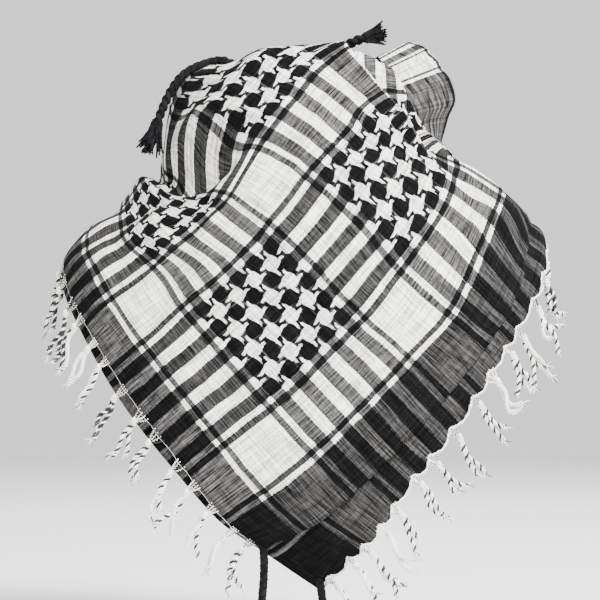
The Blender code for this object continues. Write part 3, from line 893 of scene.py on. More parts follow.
def arms(tree, over_black, over_white, uneven, flip):
    """White in a square where one thread is black: an arm from each white square beside it, on
    opposite sides, along the bulging black square, and the white square's own bulge."""
    x = node(tree, "Math DIVIDE", over_black, BLACK_PART)
    y = node(tree, "Math SUBTRACT", over_white, BLACK_PART)
    y = node(tree, "Math DIVIDE", y, 1 - BLACK_PART)
    if flip:
        y = node(tree, "Math SUBTRACT", 1.0, y)
    end = node(tree, "Math SUBTRACT", uneven, 0.5)
    end = node(tree, "Math MULTIPLY_ADD", end, ARM_LOOSE, ARM_LONG)
    x_back, y_back = (node(tree, "Math SUBTRACT", 1.0, place) for place in (x, y))
    shapes = []
    for far, near in ((x, y_back), (x_back, y)):
        low = bow(tree, far, BLACK_BULGE)
        wide = node(tree, "Math MULTIPLY_ADD", far, (ARM_POINT - ARM_WIDE) / ARM_LONG, ARM_WIDE)
        above = node(tree, "Math GREATER_THAN", near, low)
        below = node(tree, "Math LESS_THAN", near, node(tree, "Math ADD", low, wide))
        short = node(tree, "Math LESS_THAN", far, end)
        arm = node(tree, "Math MULTIPLY", node(tree, "Math MULTIPLY", above, below), short)
        bulge = node(tree, "Math LESS_THAN", far, bow(tree, near, WHITE_BULGE))
        shapes.append(node(tree, "Math MAXIMUM", arm, bulge))
    return node(tree, "Math MAXIMUM", *shapes)


def puff(tree, bar_a, bar_b):
    """The raised weave: highest in the middle of each square."""
    waves = []
    for bar in (bar_a, bar_b):
        turn = node(tree, "Math MULTIPLY", bar, 2 * math.pi)
        waves.append(node(tree, "Math ABSOLUTE", node(tree, "Math SINE", turn)))
    return node(tree, "Math MULTIPLY", waves[0], waves[1])


# %% [markdown]
# The cloth is soft spun cotton: quite matt, with hardly any shine or fuzz. Its threads are uneven
# in thickness, so grey is streaked along them, white shows faint darker and lighter threads, and
# a stripe's edge wanders a little. The weave and the hound's-tooth's puffed squares are relief
# in the shading, as they are too fine for the mesh.

# %% The cloth's material
THREAD = 1.7  # mm: two threads, as single ones are too fine to show
GREY_LOW, GREY_HIGH = 0.0, 0.15  # white in a square of mixed threads
DARKER_GREY = 0.5  # share of that white where the threads across a are the black ones
BLACK_GRAIN = 0.004  # white that shows between black threads
TOOTH_GREY = 0.10  # white in a dark square of the hound's-tooth, at most
WANDER, RAGGED = 3.0, 2.4  # mm: how far a stripe strays, and how ragged its edge is
DARKEST, LIGHTEST = 0.40, 1.10  # share of their colour that the threads show
PATCH_DARKER = -0.10
WEAVE_HEIGHT, PUFF_HEIGHT, SLUB_HEIGHT = 0.10, 0.9, 0.5  # mm
CRUMPLE = 2.4  # mm: creases too slight for the mesh


def streaks(tree, vector, across, along, detail=2.0):
    """Noise drawn out along the threads, from 0 to 1."""
    drawn = node(tree, "VectorMath MULTIPLY", vector, (across, along, 1))
    return node(tree, "TexNoise", {"Vector": drawn, "Scale": 1.0, "Detail": detail})


def threads_at(tree, flat, fine_a, fine_b):
    """(place across a, place across b) of the stripes: wandering a little, and ragged."""
    parts = node(tree, "SeparateXYZ", flat).outputs
    wander = streaks(tree, flat, 0.03, 0.03)
    shift = node(tree, "Math MULTIPLY", node(tree, "Math SUBTRACT", wander, 0.5), WANDER)
    ragged_a = node(tree, "Math MULTIPLY", node(tree, "Math SUBTRACT", fine_b, 0.5), RAGGED)
    ragged_b = node(tree, "Math MULTIPLY", node(tree, "Math SUBTRACT", fine_a, 0.5), RAGGED)
    a = node(tree, "Math ADD", node(tree, "Math ADD", parts[0], shift), ragged_a)
    b = node(tree, "Math ADD", node(tree, "Math SUBTRACT", parts[1], shift), ragged_b)
    return a, b


def whiteness(tree, stripe_a, stripe_b, fine_a, fine_b):
    """How white the cloth is, from the (shade, in the bars, bar) of the stripes both ways."""
    shade_a, bars_a, bar_a = stripe_a
    shade_b, bars_b, bar_b = stripe_b
    whole = node(tree, "Math MULTIPLY", shade_a, shade_b)
    either = node(tree, "Math MAXIMUM", shade_a, shade_b)
    grey = node(tree, "Math SUBTRACT", either, whole)
    lines = node(tree, "Math MULTIPLY", fine_b, shade_b)
    lines = node(tree, "Math MULTIPLY_ADD", fine_a, shade_a, lines)
    uneven = node(tree, "MapRange", lines, 0.3, 0.7, GREY_LOW, GREY_HIGH)
    darker = node(tree, "Math MULTIPLY_ADD", shade_a, 1 - DARKER_GREY, DARKER_GREY)
    uneven = node(tree, "Math MULTIPLY", uneven, darker)
    plain = node(tree, "Math MULTIPLY_ADD", grey, uneven, whole)

    over_a = arms(tree, bar_a, bar_b, fine_b, False)
    over_b = arms(tree, bar_b, bar_a, fine_a, True)
    square_a = node(tree, "Math MULTIPLY", node(tree, "Math SUBTRACT", 1.0, shade_a), shade_b)
    square_b = node(tree, "Math MULTIPLY", node(tree, "Math SUBTRACT", 1.0, shade_b), shade_a)
    arm = node(tree, "Math MULTIPLY", over_b, square_b)
    arm = node(tree, "Math MULTIPLY_ADD", over_a, square_a, arm)
    thin = node(tree, "MapRange", lines, 0.5, 0.75, 0.0, TOOTH_GREY)
    dark = node(tree, "Math MULTIPLY", node(tree, "Math SUBTRACT", grey, arm), thin)
    tooth = node(tree, "Math ADD", node(tree, "Math ADD", whole, arm), dark)
    patch = node(tree, "Math MULTIPLY", bars_a, bars_b)
    return node(tree, "Mix", {0: patch, 2: plain, 3: tooth}), patch


def unevenness(tree, flat, both, patch):
    """How light the threads are, with thick and thin ones showing, and darker in the patches."""
    tint = streaks(tree, flat, 0.5, 0.5, 4.0)
    slubs = node(tree, "Math ADD", streaks(tree, flat, 0.42, 0.02), streaks(tree, flat, 0.02, 0.42))
    threads = node(tree, "Math MULTIPLY_ADD", slubs, 0.35, node(tree, "Math MULTIPLY", both, 0.2))
    threads = node(tree, "Math MULTIPLY_ADD", tint, 0.2, threads)
    shadow = node(tree, "MapRange", threads, 0.57, 0.73, DARKEST, LIGHTEST)
    darker = node(tree, "Math MULTIPLY_ADD", patch, PATCH_DARKER, 1.0)
    return node(tree, "Math MULTIPLY", shadow, darker)


def relief(tree, flat, both, patch, bar_a, bar_b):
    """The bump of single threads, raised squares, thick threads and slight creases, in mm."""
    parts = node(tree, "SeparateXYZ", flat).outputs
    weave_a = node(tree, "Math SINE", node(tree, "Math MULTIPLY", parts[0], 2 * math.pi / THREAD))
    weave_b = node(tree, "Math SINE", node(tree, "Math MULTIPLY", parts[1], 2 * math.pi / THREAD))
    weave = node(tree, "Math MULTIPLY", node(tree, "Math ADD", weave_a, weave_b), WEAVE_HEIGHT)
    raised = node(tree, "Math MULTIPLY", puff(tree, bar_a, bar_b), patch)
    raised = node(tree, "Math MULTIPLY", raised, PUFF_HEIGHT)
    slub = node(tree, "Math MULTIPLY", both, SLUB_HEIGHT)
    crumple = streaks(tree, flat, 0.06, 0.10, 1.0)
    crumple = node(tree, "Math ADD", crumple, streaks(tree, flat, 0.05, 0.03, 1.0))
    height = node(tree, "Math ADD", node(tree, "Math ADD", weave, raised), slub)
    height = node(tree, "Math MULTIPLY_ADD", crumple, CRUMPLE, height)
    return node(tree, "Bump", {"Height": height, "Distance": MM, "Strength": 0.9})


def cotton_check():
    """The keffiyeh's cloth: stripes both ways, in the cloth's own millimetres."""
    made = bpy.data.materials.new("woven cotton, black and white")
    made.use_nodes = True
    tree = made.node_tree
    shader = tree.nodes["Principled BSDF"]
    chart = node(tree, "UVMap", uv_map="cloth")
    flat = node(tree, "VectorMath SCALE", {0: chart, "Scale": 1 / MM})
    fine_a = streaks(tree, flat, 0.6, 0.035)
    fine_b = streaks(tree, flat, 0.035, 0.6)
    both = node(tree, "Math ADD", fine_a, fine_b)
    a, b = threads_at(tree, flat, fine_a, fine_b)
    stripe_a, stripe_b = stripes(tree, a, BORDER_A), stripes(tree, b, BORDER_B)
    white, patch = whiteness(tree, stripe_a, stripe_b, fine_a, fine_b)
    grain = node(tree, "MapRange", both, 0.85, 1.25, 0.0, BLACK_GRAIN)
    white = node(tree, "Math MAXIMUM", white, grain)
    colours = {0: white, 6: BLACK_COTTON, 7: WHITE_COTTON}
    colour = node(tree, "Mix", colours, data_type="RGBA").outputs[2]
    uneven = unevenness(tree, flat, both, patch)
    shaded = node(tree, "VectorMath SCALE", {0: colour, "Scale": uneven})
    tree.links.new(shaded.outputs[0], shader.inputs["Base Color"])
    bump = relief(tree, flat, both, patch, stripe_a[2], stripe_b[2])
    tree.links.new(bump.outputs[0], shader.inputs["Normal"])
    shader.inputs["Roughness"].default_value = 0.95
    shader.inputs["Specular IOR Level"].default_value = 0.03
    shader.inputs["Sheen Weight"].default_value = 0.006
    shader.inputs["Sheen Roughness"].default_value = 0.5
    return made


check = cotton_check()
for piece in (outer_cloth, under_cloth, left_cloth, right_cloth):
    piece.data.materials.append(check)
print("check nodes:", len(check.node_tree.nodes))

# %% [markdown]
# ## Threads
#
# The fringe is the cloth's own warp, knotted in bunches whose ends are twisted. A Geometry
# Nodes group makes any such yarn: it follows guide lines, makes several plies of each and
# winds them round it, so one tree serves the fringe, its knots and the braided corner tails.
# Plain tubes would be simpler, but would not look spun.

# %% The yarn tree
YARN_INPUTS = (
    ("Plies", "NodeSocketInt"),
    ("Pitch", "NodeSocketFloat"),  # length of one turn
    ("Around", "NodeSocketFloat"),  # middle of the yarn to a ply's, in ply radii
    ("Weave", "NodeSocketFloat"),  # 1 twists the plies, 2 braids them
    ("Fray", "NodeSocketFloat"),  # how much wider the end is, in ply radii
    ("Wander", "NodeSocketFloat"),  # unevenness, in ply radii
    ("Step", "NodeSocketFloat"),
    ("Sides", "NodeSocketInt"),
    ("Finish", "NodeSocketMaterial"),
)


def winding(tree, given, thick, ply, share):
    """How far a ply lies from its guide line: wound round it, and a little uneven."""
    place = node(tree, "GeometryNodeSplineParameter").outputs
    turn = node(tree, "Math DIVIDE", place["Length"], given["Pitch"])
    turn = node(tree, "Math MULTIPLY", node(tree, "Math ADD", turn, share), 2 * math.pi)
    often = node(tree, "Math MULTIPLY", turn, given["Weave"])
    end = node(tree, "MapRange", place["Factor"], 0.72, 1.0)
    spread = node(tree, "Math MULTIPLY_ADD", end, given["Fray"], given["Around"])
    spread = node(tree, "Math MULTIPLY", spread, thick)
    up = node(tree, "GeometryNodeInputNormal")
    way = node(tree, "GeometryNodeInputTangent")
    side = node(tree, "VectorMath CROSS_PRODUCT", way, up)
    far = node(tree, "Math MULTIPLY", node(tree, "Math COSINE", turn), spread)
    over = node(tree, "VectorMath SCALE", {0: up, "Scale": far})
    far = node(tree, "Math DIVIDE", node(tree, "Math SINE", often), given["Weave"])
    far = node(tree, "Math MULTIPLY", far, spread)
    beside = node(tree, "VectorMath SCALE", {0: side, "Scale": far})
    where = {0: node(tree, "GeometryNodeInputPosition"), "Scale": 160.0}
    where = node(tree, "VectorMath SCALE", where)
    apart = node(tree, "VectorMath SCALE", {0: (7.0, 3.0, 5.0), "Scale": ply})
    where = node(tree, "VectorMath ADD", where, apart)
    noise = node(tree, "TexNoise", {"Vector": where, "Scale": 1.0}).outputs["Color"]
    noise = node(tree, "VectorMath SUBTRACT", noise, (0.5, 0.5, 0.5))
    loose = node(tree, "Math MULTIPLY", thick, given["Wander"])
    noise = node(tree, "VectorMath SCALE", {0: noise, "Scale": loose})
    return node(tree, "VectorMath ADD", node(tree, "VectorMath ADD", over, beside), noise)


def yarn_tree():
    """Geometry Nodes that turn guide lines with a thick attribute into wound plies. Their dark
    attribute is the share of the plies that are black, which each ply's own then says."""
    tree = bpy.data.node_groups.new("yarn", "GeometryNodeTree")
    ports = tree.interface
    ports.new_socket("Guides", in_out="INPUT", socket_type="NodeSocketGeometry")
    for name, kind in YARN_INPUTS:
        ports.new_socket(name, in_out="INPUT", socket_type=kind)
    ports.new_socket("Yarn", in_out="OUTPUT", socket_type="NodeSocketGeometry")
    given = node(tree, "NodeGroupInput").outputs
    line = node(tree, "GeometryNodeMeshToCurve", given["Guides"])
    step = {"Curve": line, "Length": given["Step"]}
    line = node(tree, "GeometryNodeResampleCurve", step, mode="LENGTH")
    amount = {"Geometry": line, "Amount": given["Plies"]}
    plies = node(tree, "GeometryNodeDuplicateElements", amount, domain="SPLINE").outputs
    thick = node(tree, "GeometryNodeInputNamedAttribute", {"Name": "thick"})
    dark = node(tree, "GeometryNodeInputNamedAttribute", {"Name": "dark"})
    share = node(tree, "Math DIVIDE", plies[1], given["Plies"])
    offset = winding(tree, given, thick, plies[1], share)
    moved = {"Geometry": plies[0], "Offset": offset}
    wound = node(tree, "GeometryNodeSetPosition", moved)
    dyed = node(tree, "Math GREATER_THAN", dark, node(tree, "Math ADD", share, 0.1))
    dyed = {"Geometry": wound, "Name": "black", "Value": dyed}
    wound = node(tree, "GeometryNodeStoreNamedAttribute", dyed, data_type="FLOAT")
    round_one = {"Resolution": given["Sides"], "Radius": 1.0}
    ring = node(tree, "GeometryNodeCurvePrimitiveCircle", round_one, mode="RADIUS")
    swept = {"Curve": wound, "Profile Curve": ring, "Scale": thick, "Fill Caps": True}
    swept = node(tree, "GeometryNodeCurveToMesh", swept)
    whole = node(tree, "GeometryNodeRealizeInstances", swept)
    finished = {"Geometry": whole, "Material": given["Finish"]}
    node(tree, "NodeGroupOutput", node(tree, "GeometryNodeSetMaterial", finished))
    return tree


YARN = yarn_tree()
print("yarn nodes:", len(YARN.nodes))


# %% Spinning
def spin(lines, thicks, finish, darks=None, **settings):
    """Yarn along lines of points in mm, with each point's ply radius, and each line's share of
    black plies. It returns a mesh."""
    points = np.concatenate(lines) * MM
    edges, first = [], 0
    for line in lines:
        edges += [(first + k, first + k + 1) for k in range(len(line) - 1)]
        first += len(line)
    guide = bpy.data.meshes.new("guide")
    guide.from_pydata(points.tolist(), edges, [])
    thick = guide.attributes.new("thick", "FLOAT", "POINT")
    thick.data.foreach_set("value", np.concatenate(thicks) * MM)
    dark = guide.attributes.new("dark", "FLOAT", "POINT")
    darks = np.zeros(len(lines)) if darks is None else darks
    dark.data.foreach_set("value", np.repeat(darks, [len(line) for line in lines]))
    holder = bpy.data.objects.new("guide", guide)
    bpy.context.collection.objects.link(holder)
    modifier = holder.modifiers.new("yarn", "NODES")
    modifier.node_group = YARN
    chosen = {"Plies": 3, "Pitch": 9.0, "Around": 1.15, "Weave": 1.0, "Fray": 0.0}
    chosen.update({"Wander": 0.4, "Step": 1.3, "Sides": 5, "Finish": finish})
    chosen.update(settings)
    for socket in YARN.interface.items_tree:
        if socket.name in chosen:
            value = chosen[socket.name]
            in_mm = socket.name in ("Pitch", "Step")
            modifier[socket.identifier] = value * MM if in_mm else value
    bpy.context.view_layer.update()
    graph = bpy.context.evaluated_depsgraph_get()
    made = bpy.data.meshes.new_from_object(holder.evaluated_get(graph))
    bpy.data.objects.remove(holder)
    return made


def gathered_piece(name, meshes):
    """One object of several meshes."""
    whole = bmesh.new()
    for mesh in meshes:
        whole.from_mesh(mesh)
    mesh = bpy.data.meshes.new(name)
    whole.to_mesh(mesh)
    whole.free()
    mesh.materials.append(meshes[0].materials[0])
    mesh.shade_smooth()
    made = bpy.data.objects.new(name, mesh)
    bpy.context.collection.objects.link(made)
    print(f"{name}: {sum(len(face.vertices) - 2 for face in mesh.polygons)} triangles")
    return made


# %% Cotton thread
DYED = linear("#2e2e30")


def cotton_thread(name, colour, shade):
    """Soft spun cotton: matt, with darker and lighter stretches, and black where a ply is."""
    made = bpy.data.materials.new(name)
    made.use_nodes = True
    tree = made.node_tree
    shader = tree.nodes["Principled BSDF"]
    place = node(tree, "TexCoord").outputs["Object"]
    broad = node(tree, "TexNoise", {"Vector": place, "Scale": 120.0, "Detail": 3.0})
    fine = node(tree, "TexNoise", {"Vector": place, "Scale": 1600.0, "Detail": 2.0})
    part = node(tree, "MapRange", broad, 0.35, 0.75)
    black = node(tree, "Attribute", attribute_name="black").outputs["Fac"]
    spun = node(tree, "Mix", {0: part, 6: colour, 7: shade}, data_type="RGBA").outputs[2]
    spun = node(tree, "Mix", {0: black, 6: spun, 7: DYED}, data_type="RGBA").outputs[2]
    tree.links.new(spun, shader.inputs["Base Color"])
    bump = node(tree, "Bump", {"Height": fine, "Distance": 0.4 * MM, "Strength": 0.7})
    tree.links.new(bump.outputs[0], shader.inputs["Normal"])
    shader.inputs["Roughness"].default_value = 0.95
    shader.inputs["Specular IOR Level"].default_value = 0.03
    shader.inputs["Sheen Weight"].default_value = 0.006
    return made


white_thread = cotton_thread("cotton fringe thread", linear("#f4f1ea"), linear("#cdc6ba"))
black_thread = cotton_thread("dyed cotton braid", linear("#0c0c0d"), linear("#1c1b1e"))

# %% [markdown]
# The ends are those of the stripes above them, so where the bars meet the hem some of a tassel's
# threads are black. Each tassel starts as a row of loose ends along the hem. They draw together
# into a knot about 12 mm out, and below it hang as two or three twisted bundles with frayed,
# curling tips. One tassel copied along the hem would look printed, so each is drawn anew.

# %% Where a tassel hangs
HANG = 22.0
KNOT = 13.0  # from the hem
LEFT_HANG = (-0.36, -0.12, -0.92)
RIGHT_HANG = (0.46, -0.1, -0.88)
BACK_HANG = (0.0, 0.16, -0.98)
LEGS = 4
LEG_SPREAD = 13.0


def hang_of(root, side):
    """The way a tassel hangs: sideways at the front, and straight down at the back."""
    back = min(max((root[1] + 100) / 100, 0.0), 1.0)
    front = np.array(LEFT_HANG if side < 0 else RIGHT_HANG)
    return unit(front * (1 - back) + np.array(BACK_HANG) * back)


def outer_hem(places, out):
    """Points this far out from the outer layer's fringed hem."""
    drawn = [scallop(place, OUTER_TASSELS, OUTER_SCALLOP) for place in places]
    b = np.array(drawn) - STEP_OUT - out
    return layer(drape, np.array(places, float), b, CLOTH / 2)


def under_hem(places, out):
    """Points this far out from the under layer's fringed hem."""
    drawn = [scallop(place, UNDER_TASSELS, UNDER_SCALLOP) for place in places]
    a = np.array(drawn) - past(UNDER_FRINGED_HEM, np.maximum(places, 7.0)) - STEP_OUT - out
    return layer(drape, a, np.array(places, float), WALL + LAYER_GAP + CLOTH / 2)


def followed(start, ways, step):
    """A line from start that takes one step along each way."""
    return start + np.concatenate([np.zeros((1, 3)), np.cumsum(np.array(ways) * step, axis=0)])


# %% One tassel
ROOT_DEPTH, ROOT_BEND = 2.0, 4.0  # how far in a thread starts, and how far out it bends
KNOT_TURNS, KNOT_LENGTH = 1.6, 4.0
STRAND_LENGTH = (32.0, 50.0)
STRAND_STEP = 2.0
FRAYED = 4  # loose ends of a strand


def leg_lines(roots, outwards, knot, way, across, rng):
    """The threads from inside the hem to the knot."""
    t = np.linspace(0, 1, 8)[:, None]
    legs = []
    for root, outwards_here in zip(roots, outwards):
        inside = root - outwards_here * ROOT_DEPTH
        bend = root + outwards_here * ROOT_BEND
        end = knot - way * 2.0 + across * rng.uniform(-1.2, 1.2)
        legs.append((1 - t) ** 2 * inside + 2 * t * (1 - t) * bend + t**2 * end)
    return legs


def knot_line(knot, way, across, above):
    """The thread wound round them there."""
    turns = np.linspace(0, 2 * math.pi * KNOT_TURNS, 16)[:, None]
    ring = across * np.cos(turns) * 1.7 + above * np.sin(turns) * 1.5
    return knot + ring + way * (turns / turns[-1] - 0.5) * KNOT_LENGTH


def strand_lines(knot, way, hang, across, above, side, rng):
    """(strands, frayed ends) below the knot, which hang together and then part."""
    strands, loose = [], []
    count = rng.choice((2, 2, 3))
    together = rng.uniform(0.15, 0.5)  # the share of their length before they part
    for k in range(count):
        apart = k - (count - 1) / 2
        lean = apart * rng.uniform(0.45, 1.2) + rng.uniform(-0.1, 0.1)
        steps = int(rng.uniform(*STRAND_LENGTH) / STRAND_STEP)
        curl = rng.uniform(-1.8, 1.8) + 0.6 * side
        swing, phase = rng.uniform(0.1, 0.35), rng.uniform(0, 6)
        runs = []
        for s in range(steps):
            part = s / steps
            parted = min(max((part - together) / 0.2, 0.0), 1.0)
            sideways = lean * parted * (1 - 0.8 * part) + curl * part**4
            sideways += swing * math.sin(7 * part + phase)
            lift = 0.2 * math.sin(6 * part + phase + k)
            toward = way * (1 - min(1, 2 * part)) + hang * min(1, 2 * part)
            runs.append(unit(toward + across * sideways + above * lift))
        strand = followed(knot + across * apart * 1.7 + way, runs, STRAND_STEP)
        strands.append(strand)
        for _ in range(FRAYED):
            turn = rng.uniform(-1.6, 1.6)
            ends = [unit(runs[-1] + across * turn * n / 5 + above * 0.3) for n in range(6)]
            loose.append(followed(strand[-3], ends, rng.uniform(1.2, 2.2)))
    return strands, loose


def tassel_lines(hem, place, side, rng):
    """(legs, knot, strands, frayed ends) of one tassel, as lines of points."""
    spread = LEG_SPREAD * rng.uniform(0.5, 1.1)
    roots = place + np.linspace(-spread / 2, spread / 2, LEGS)
    near, far = hem(roots, 0.0), hem(roots, 3.0)
    outwards = unit(far - near)
    middle, out = near[LEGS // 2], outwards[LEGS // 2]
    across = unit(near[-1] - near[0])
    hang = hang_of(middle, side)
    drop = KNOT * rng.uniform(0.85, 1.15)
    ways = [unit(out * (1 - t) + hang * t) for t in np.linspace(0, drop / HANG, 7)]
    knot = followed(middle, ways, drop / 7)[-1]
    way = ways[-1]
    above = unit(np.cross(across, way))
    if above[1] > 0.3:
        above = -above
    knot = knot + above * 1.2
    legs = leg_lines(near, outwards, knot, way, across, rng)
    tied = knot_line(knot, way, across, above)
    hang = unit(hang + across * rng.uniform(-0.3, 0.3))
    strands, loose = strand_lines(knot, way, hang, across, above, side, rng)
    return legs, tied, strands, loose


# %% The fringes
LEG_RADIUS = 0.55
KNOT_RADIUS = 1.25
PLY_RADIUS = 1.15
LOOSE_RADIUS = 0.4


def thickness(line, radius, tip=1.0):
    """A ply radius for each point of a line, thinner towards its tip."""
    part = np.linspace(0, 1, len(line))
    return radius * (1 - (1 - tip) * np.clip((part - 0.6) / 0.4, 0, 1))


def share_black(middle, border):
    """The share of black among the threads that a tassel draws together."""
    places = np.linspace(middle - TASSEL_PITCH / 2, middle + TASSEL_PITCH / 2, 30)
    starts, shades = zip(*stripe_stops())
    turn = (places - border - LINE_WHITE - LINE_BLACK) % REPEAT
    return 1 - np.take(shades, np.searchsorted(starts, turn, side="right") - 1).mean()


def fringe(name, hem, places, side, edging_radius, seed, border):
    """Every tassel of a hem, and the thread that runs along it."""
    rng, dyer = random.Random(seed), random.Random(seed)
    legs, knots, strands, loose = [], [], [], []
    darks = {"legs": [], "strands": [], "loose": []}
    for place in places:
        more_legs, knot, more_strands, more_loose = tassel_lines(hem, place, side, rng)
        share = share_black(place, border)
        darks["legs"] += [share * dyer.uniform(0, 1.1) for _ in more_legs]
        darks["strands"] += [min(share * dyer.uniform(0, 1.1), 0.7) for _ in more_strands]
        darks["loose"] += [float(dyer.random() < 0.5 * share) for _ in more_loose]
        legs += more_legs
        knots.append(knot)
        strands += more_strands
        loose += more_loose
    edging = hem(np.arange(places[0] - 12, places[-1] + 12, 2.0), 0.2)
    legs_thick = [thickness(line, LEG_RADIUS) for line in legs]
    knots_thick = [thickness(line, KNOT_RADIUS) for line in knots]
    loose_thick = [thickness(line, LOOSE_RADIUS, 0.5) for line in loose]
    made = [
        spin(legs, legs_thick, white_thread, darks["legs"], Plies=2, Pitch=3.0),
        spin([edging], [thickness(edging, edging_radius)], white_thread, Plies=2, Pitch=3.0),
        spin(knots, knots_thick, white_thread, Pitch=6.0),
        spin(loose, loose_thick, white_thread, darks["loose"], Plies=1, Around=0.0),
        spin(
            strands,
            [thickness(line, PLY_RADIUS, 0.55) for line in strands],
            white_thread,
            darks["strands"],
            Fray=2.6,
            Wander=1.0,
        ),
    ]
    return gathered_piece(name, made)


outer_fringe = fringe("outer_fringe_threads", outer_hem, OUTER_TASSELS, -1, 0.28, 11, BORDER_A)
under_border = BORDER_B - UNDER_SHIFT
under_fringe = fringe("under_fringe_threads", under_hem, UNDER_TASSELS, 1, 0.9, 12, under_border)

# %% [markdown]
# The threads at the cloth's corners are black. They are braided into tails, which end in a
# loose tuft. The yarn tree braids as well as twists, so the tails are its work too.

# %% Corner tails
CHEST_TAIL = ((0, 0, 2), (1, 0, -12), (1, 0, -20), (-1, 0, -50), (-3, 0, -72))
UNDER_TAIL = ((0, 0, 2), (2, 0, -10), (3, 0, -17), (4, 0, -32), (5, 0, -44))
RIGHT_CREST_TAIL = (
    (32, -22, 130),
    (36, -26, 146),
    (45, -32, 159),
    (58, -34, 165),
    (66, -34, 167),
)
LEFT_CREST_TAIL = (
    (-68, -2, 138),
    (-82, -10, 145),
    (-102, -18, 141),
    (-122, -26, 130),
    (-137, -30, 109),
    (-146, -33, 88),
    (-151, -37, 72),
)
TAIL_GAP = 1.2
TUFT = 46  # loose ends


def smooth(points, count):
    """Points along a smooth curve through a few."""
    points = np.array(points, float)
    knots = np.concatenate([[0], np.cumsum(np.linalg.norm(np.diff(points, axis=0), axis=1))])
    rows = np.column_stack([knots, points])
    return rib_points(rows, np.linspace(0, knots[-1] - 1e-6, count))


def tail(name, rows, start, radius, flare, length, seed):
    """A braid through its rows, with a tuft this long and wide at its end."""
    rng = random.Random(seed)
    line = smooth(rows, 40) + start
    way = unit(line[-1] - line[-4])
    across = unit(np.cross(way, (0.1, 1.0, 0.2)))
    above = np.cross(across, way)
    loose = []
    for _ in range(TUFT):
        lean = across * rng.uniform(-1, 1) * flare + above * rng.uniform(-1, 1) * flare * 0.35
        beside = across * rng.uniform(-1, 1) + above * rng.uniform(-1, 1)
        begin = line[-4] + beside * radius * 0.8
        ways = [unit(way + lean * (0.4 + 1.2 * k / 8)) for k in range(8)]
        loose.append(followed(begin, ways, length * rng.uniform(0.7, 1.1) / 8))
    made = [
        spin(
            [line],
            [thickness(line, radius * 0.52)],
            black_thread,
            Pitch=radius * 4.4,
            Around=1.15,
            Weave=2.0,
            Wander=0.3,
            Step=1.0,
            Sides=10,
        ),
        spin(
            loose,
            [thickness(part, 0.95, 0.5) for part in loose],
            black_thread,
            Plies=2,
            Pitch=5.0,
            Wander=0.8,
        ),
    ]
    return gathered_piece(name, made)


def corner(a, b, depth):
    """Just below a corner of a layer, in the middle of its wall."""
    return layer(drape, a, b, depth + WALL / 2) + (0, 0, -TAIL_GAP)


under_corner = corner(-past(UNDER_FRINGED_HEM, 7.0), 7.0, WALL + LAYER_GAP)
chest_tail = tail("chest_braid", CHEST_TAIL, corner(0.0, 0.0, 0.0), 5.4, 0.25, 12, 1)
under_tail = tail("under_braid", UNDER_TAIL, under_corner, 5.4, 0.25, 10, 2)
right_tail = tail("right_crest_braid", RIGHT_CREST_TAIL, 0, 5.4, 0.5, 22, 3)
left_tail = tail("left_crest_braid", LEFT_CREST_TAIL, 0, 5.6, 0.4, 34, 4)

# %% [markdown]
# ## Camera, floor and light
#
# The scarf is seen from the front through a long lens, level with the chest. A large soft light
# from the upper right shapes the folds, a weak one fills in from the left, and one behind
# draws the shoulders' edges. The floor is matt white paint, which fades into the bright studio.

# %% Camera
eye = bpy.data.cameras.new("camera")
eye.lens = 180.0
eye.sensor_width = 36.0
camera = bpy.data.objects.new("camera", eye)
camera.location = (-0.004, -3.080, -0.100)
camera.rotation_euler = (math.pi / 2, 0, 0)
bpy.context.collection.objects.link(camera)
bpy.context.scene.camera = camera

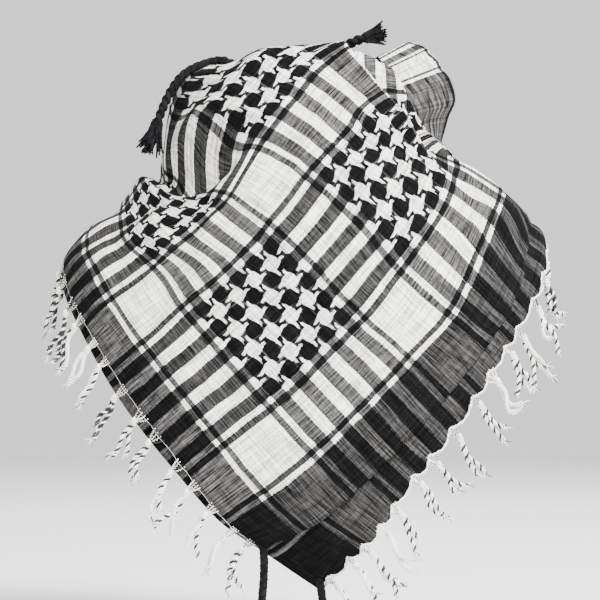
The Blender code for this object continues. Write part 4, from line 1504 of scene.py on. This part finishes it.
# %% Floor
FLOOR_DROP = 0.03
SKY = 1.2  # how bright the studio round it is
FADE = (1.2, 5.0)  # m: the floor runs into it with no edge
lowest = bounds_before[0][2]
disc = bmesh.new()
bmesh.ops.create_circle(disc, cap_ends=True, segments=128, radius=14.0)
bmesh.ops.translate(disc, verts=disc.verts, vec=(0, 0, lowest - FLOOR_DROP))
floor_mesh = bpy.data.meshes.new("floor")
disc.to_mesh(floor_mesh)
disc.free()
floor = bpy.data.objects.new("floor", floor_mesh)
bpy.context.collection.objects.link(floor)
paint = bpy.data.materials.new("matt white paint")
paint.use_nodes = True
tree = paint.node_tree
paint_shader = tree.nodes["Principled BSDF"]
paint_shader.inputs["Base Color"].default_value = FLOOR_WHITE
paint_shader.inputs["Roughness"].default_value = 0.9
spot = node(tree, "TexCoord").outputs["Object"]
spot = node(tree, "VectorMath MULTIPLY", spot, (1, 1, 0))
away = node(tree, "VectorMath LENGTH", spot).outputs["Value"]
faded = node(tree, "MapRange", away, *FADE, interpolation_type="SMOOTHSTEP")
haze = node(tree, "Emission", {"Color": (1, 1, 1, 1), "Strength": SKY})
blend = node(tree, "MixShader", faded, paint_shader, haze)
tree.links.new(blend.outputs[0], tree.nodes["Material Output"].inputs["Surface"])
floor_mesh.materials.append(paint)

# %% Light
LIGHTS = (  # name, place, size, watts
    ("key", (1.5, -2.0, 2.2), 0.9, 520.0),
    ("fill", (-2.4, -2.2, 0.4), 1.8, 45.0),
    ("back", (0.4, 2.4, 1.8), 1.8, 90.0),
)
for name, place, size, watts in LIGHTS:
    lamp = bpy.data.lights.new(name, "AREA")
    lamp.shape = "DISK"
    lamp.size = size
    lamp.energy = watts
    holder = bpy.data.objects.new(name, lamp)
    holder.location = place
    aim = Vector((0, 0, -0.1)) - Vector(place)
    holder.rotation_euler = aim.to_track_quat("-Z", "Y").to_euler()
    bpy.context.collection.objects.link(holder)
world = bpy.data.worlds.new("studio")
world.use_nodes = True
world.node_tree.nodes["Background"].inputs["Color"].default_value = (1, 1, 1, 1)
world.node_tree.nodes["Background"].inputs["Strength"].default_value = SKY
bpy.context.scene.world = world

# %% [markdown]
# ## Onto the frame
#
# Every piece hangs from the frame's root and stands for the plain solid in its place, which is
# hidden.

# %% Pieces
PIECES = (
    (outer_cloth, "outer_layer", "checked_cotton"),
    (under_cloth, "under_layer", "checked_cotton"),
    (left_cloth, "left_end_wrap", "checked_cotton"),
    (right_cloth, "right_end_wrap", "checked_cotton"),
    (outer_fringe, "outer_fringe", "white_thread"),
    (under_fringe, "under_fringe", "white_thread"),
    (chest_tail, "chest_tail", "black_thread"),
    (under_tail, "under_tail", "black_thread"),
    (right_tail, "right_crest_tail", "black_thread"),
    (left_tail, "left_crest_tail", "black_thread"),
)
for piece, solid_node, finish in PIECES:
    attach(piece, "root")
    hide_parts(solid_node)
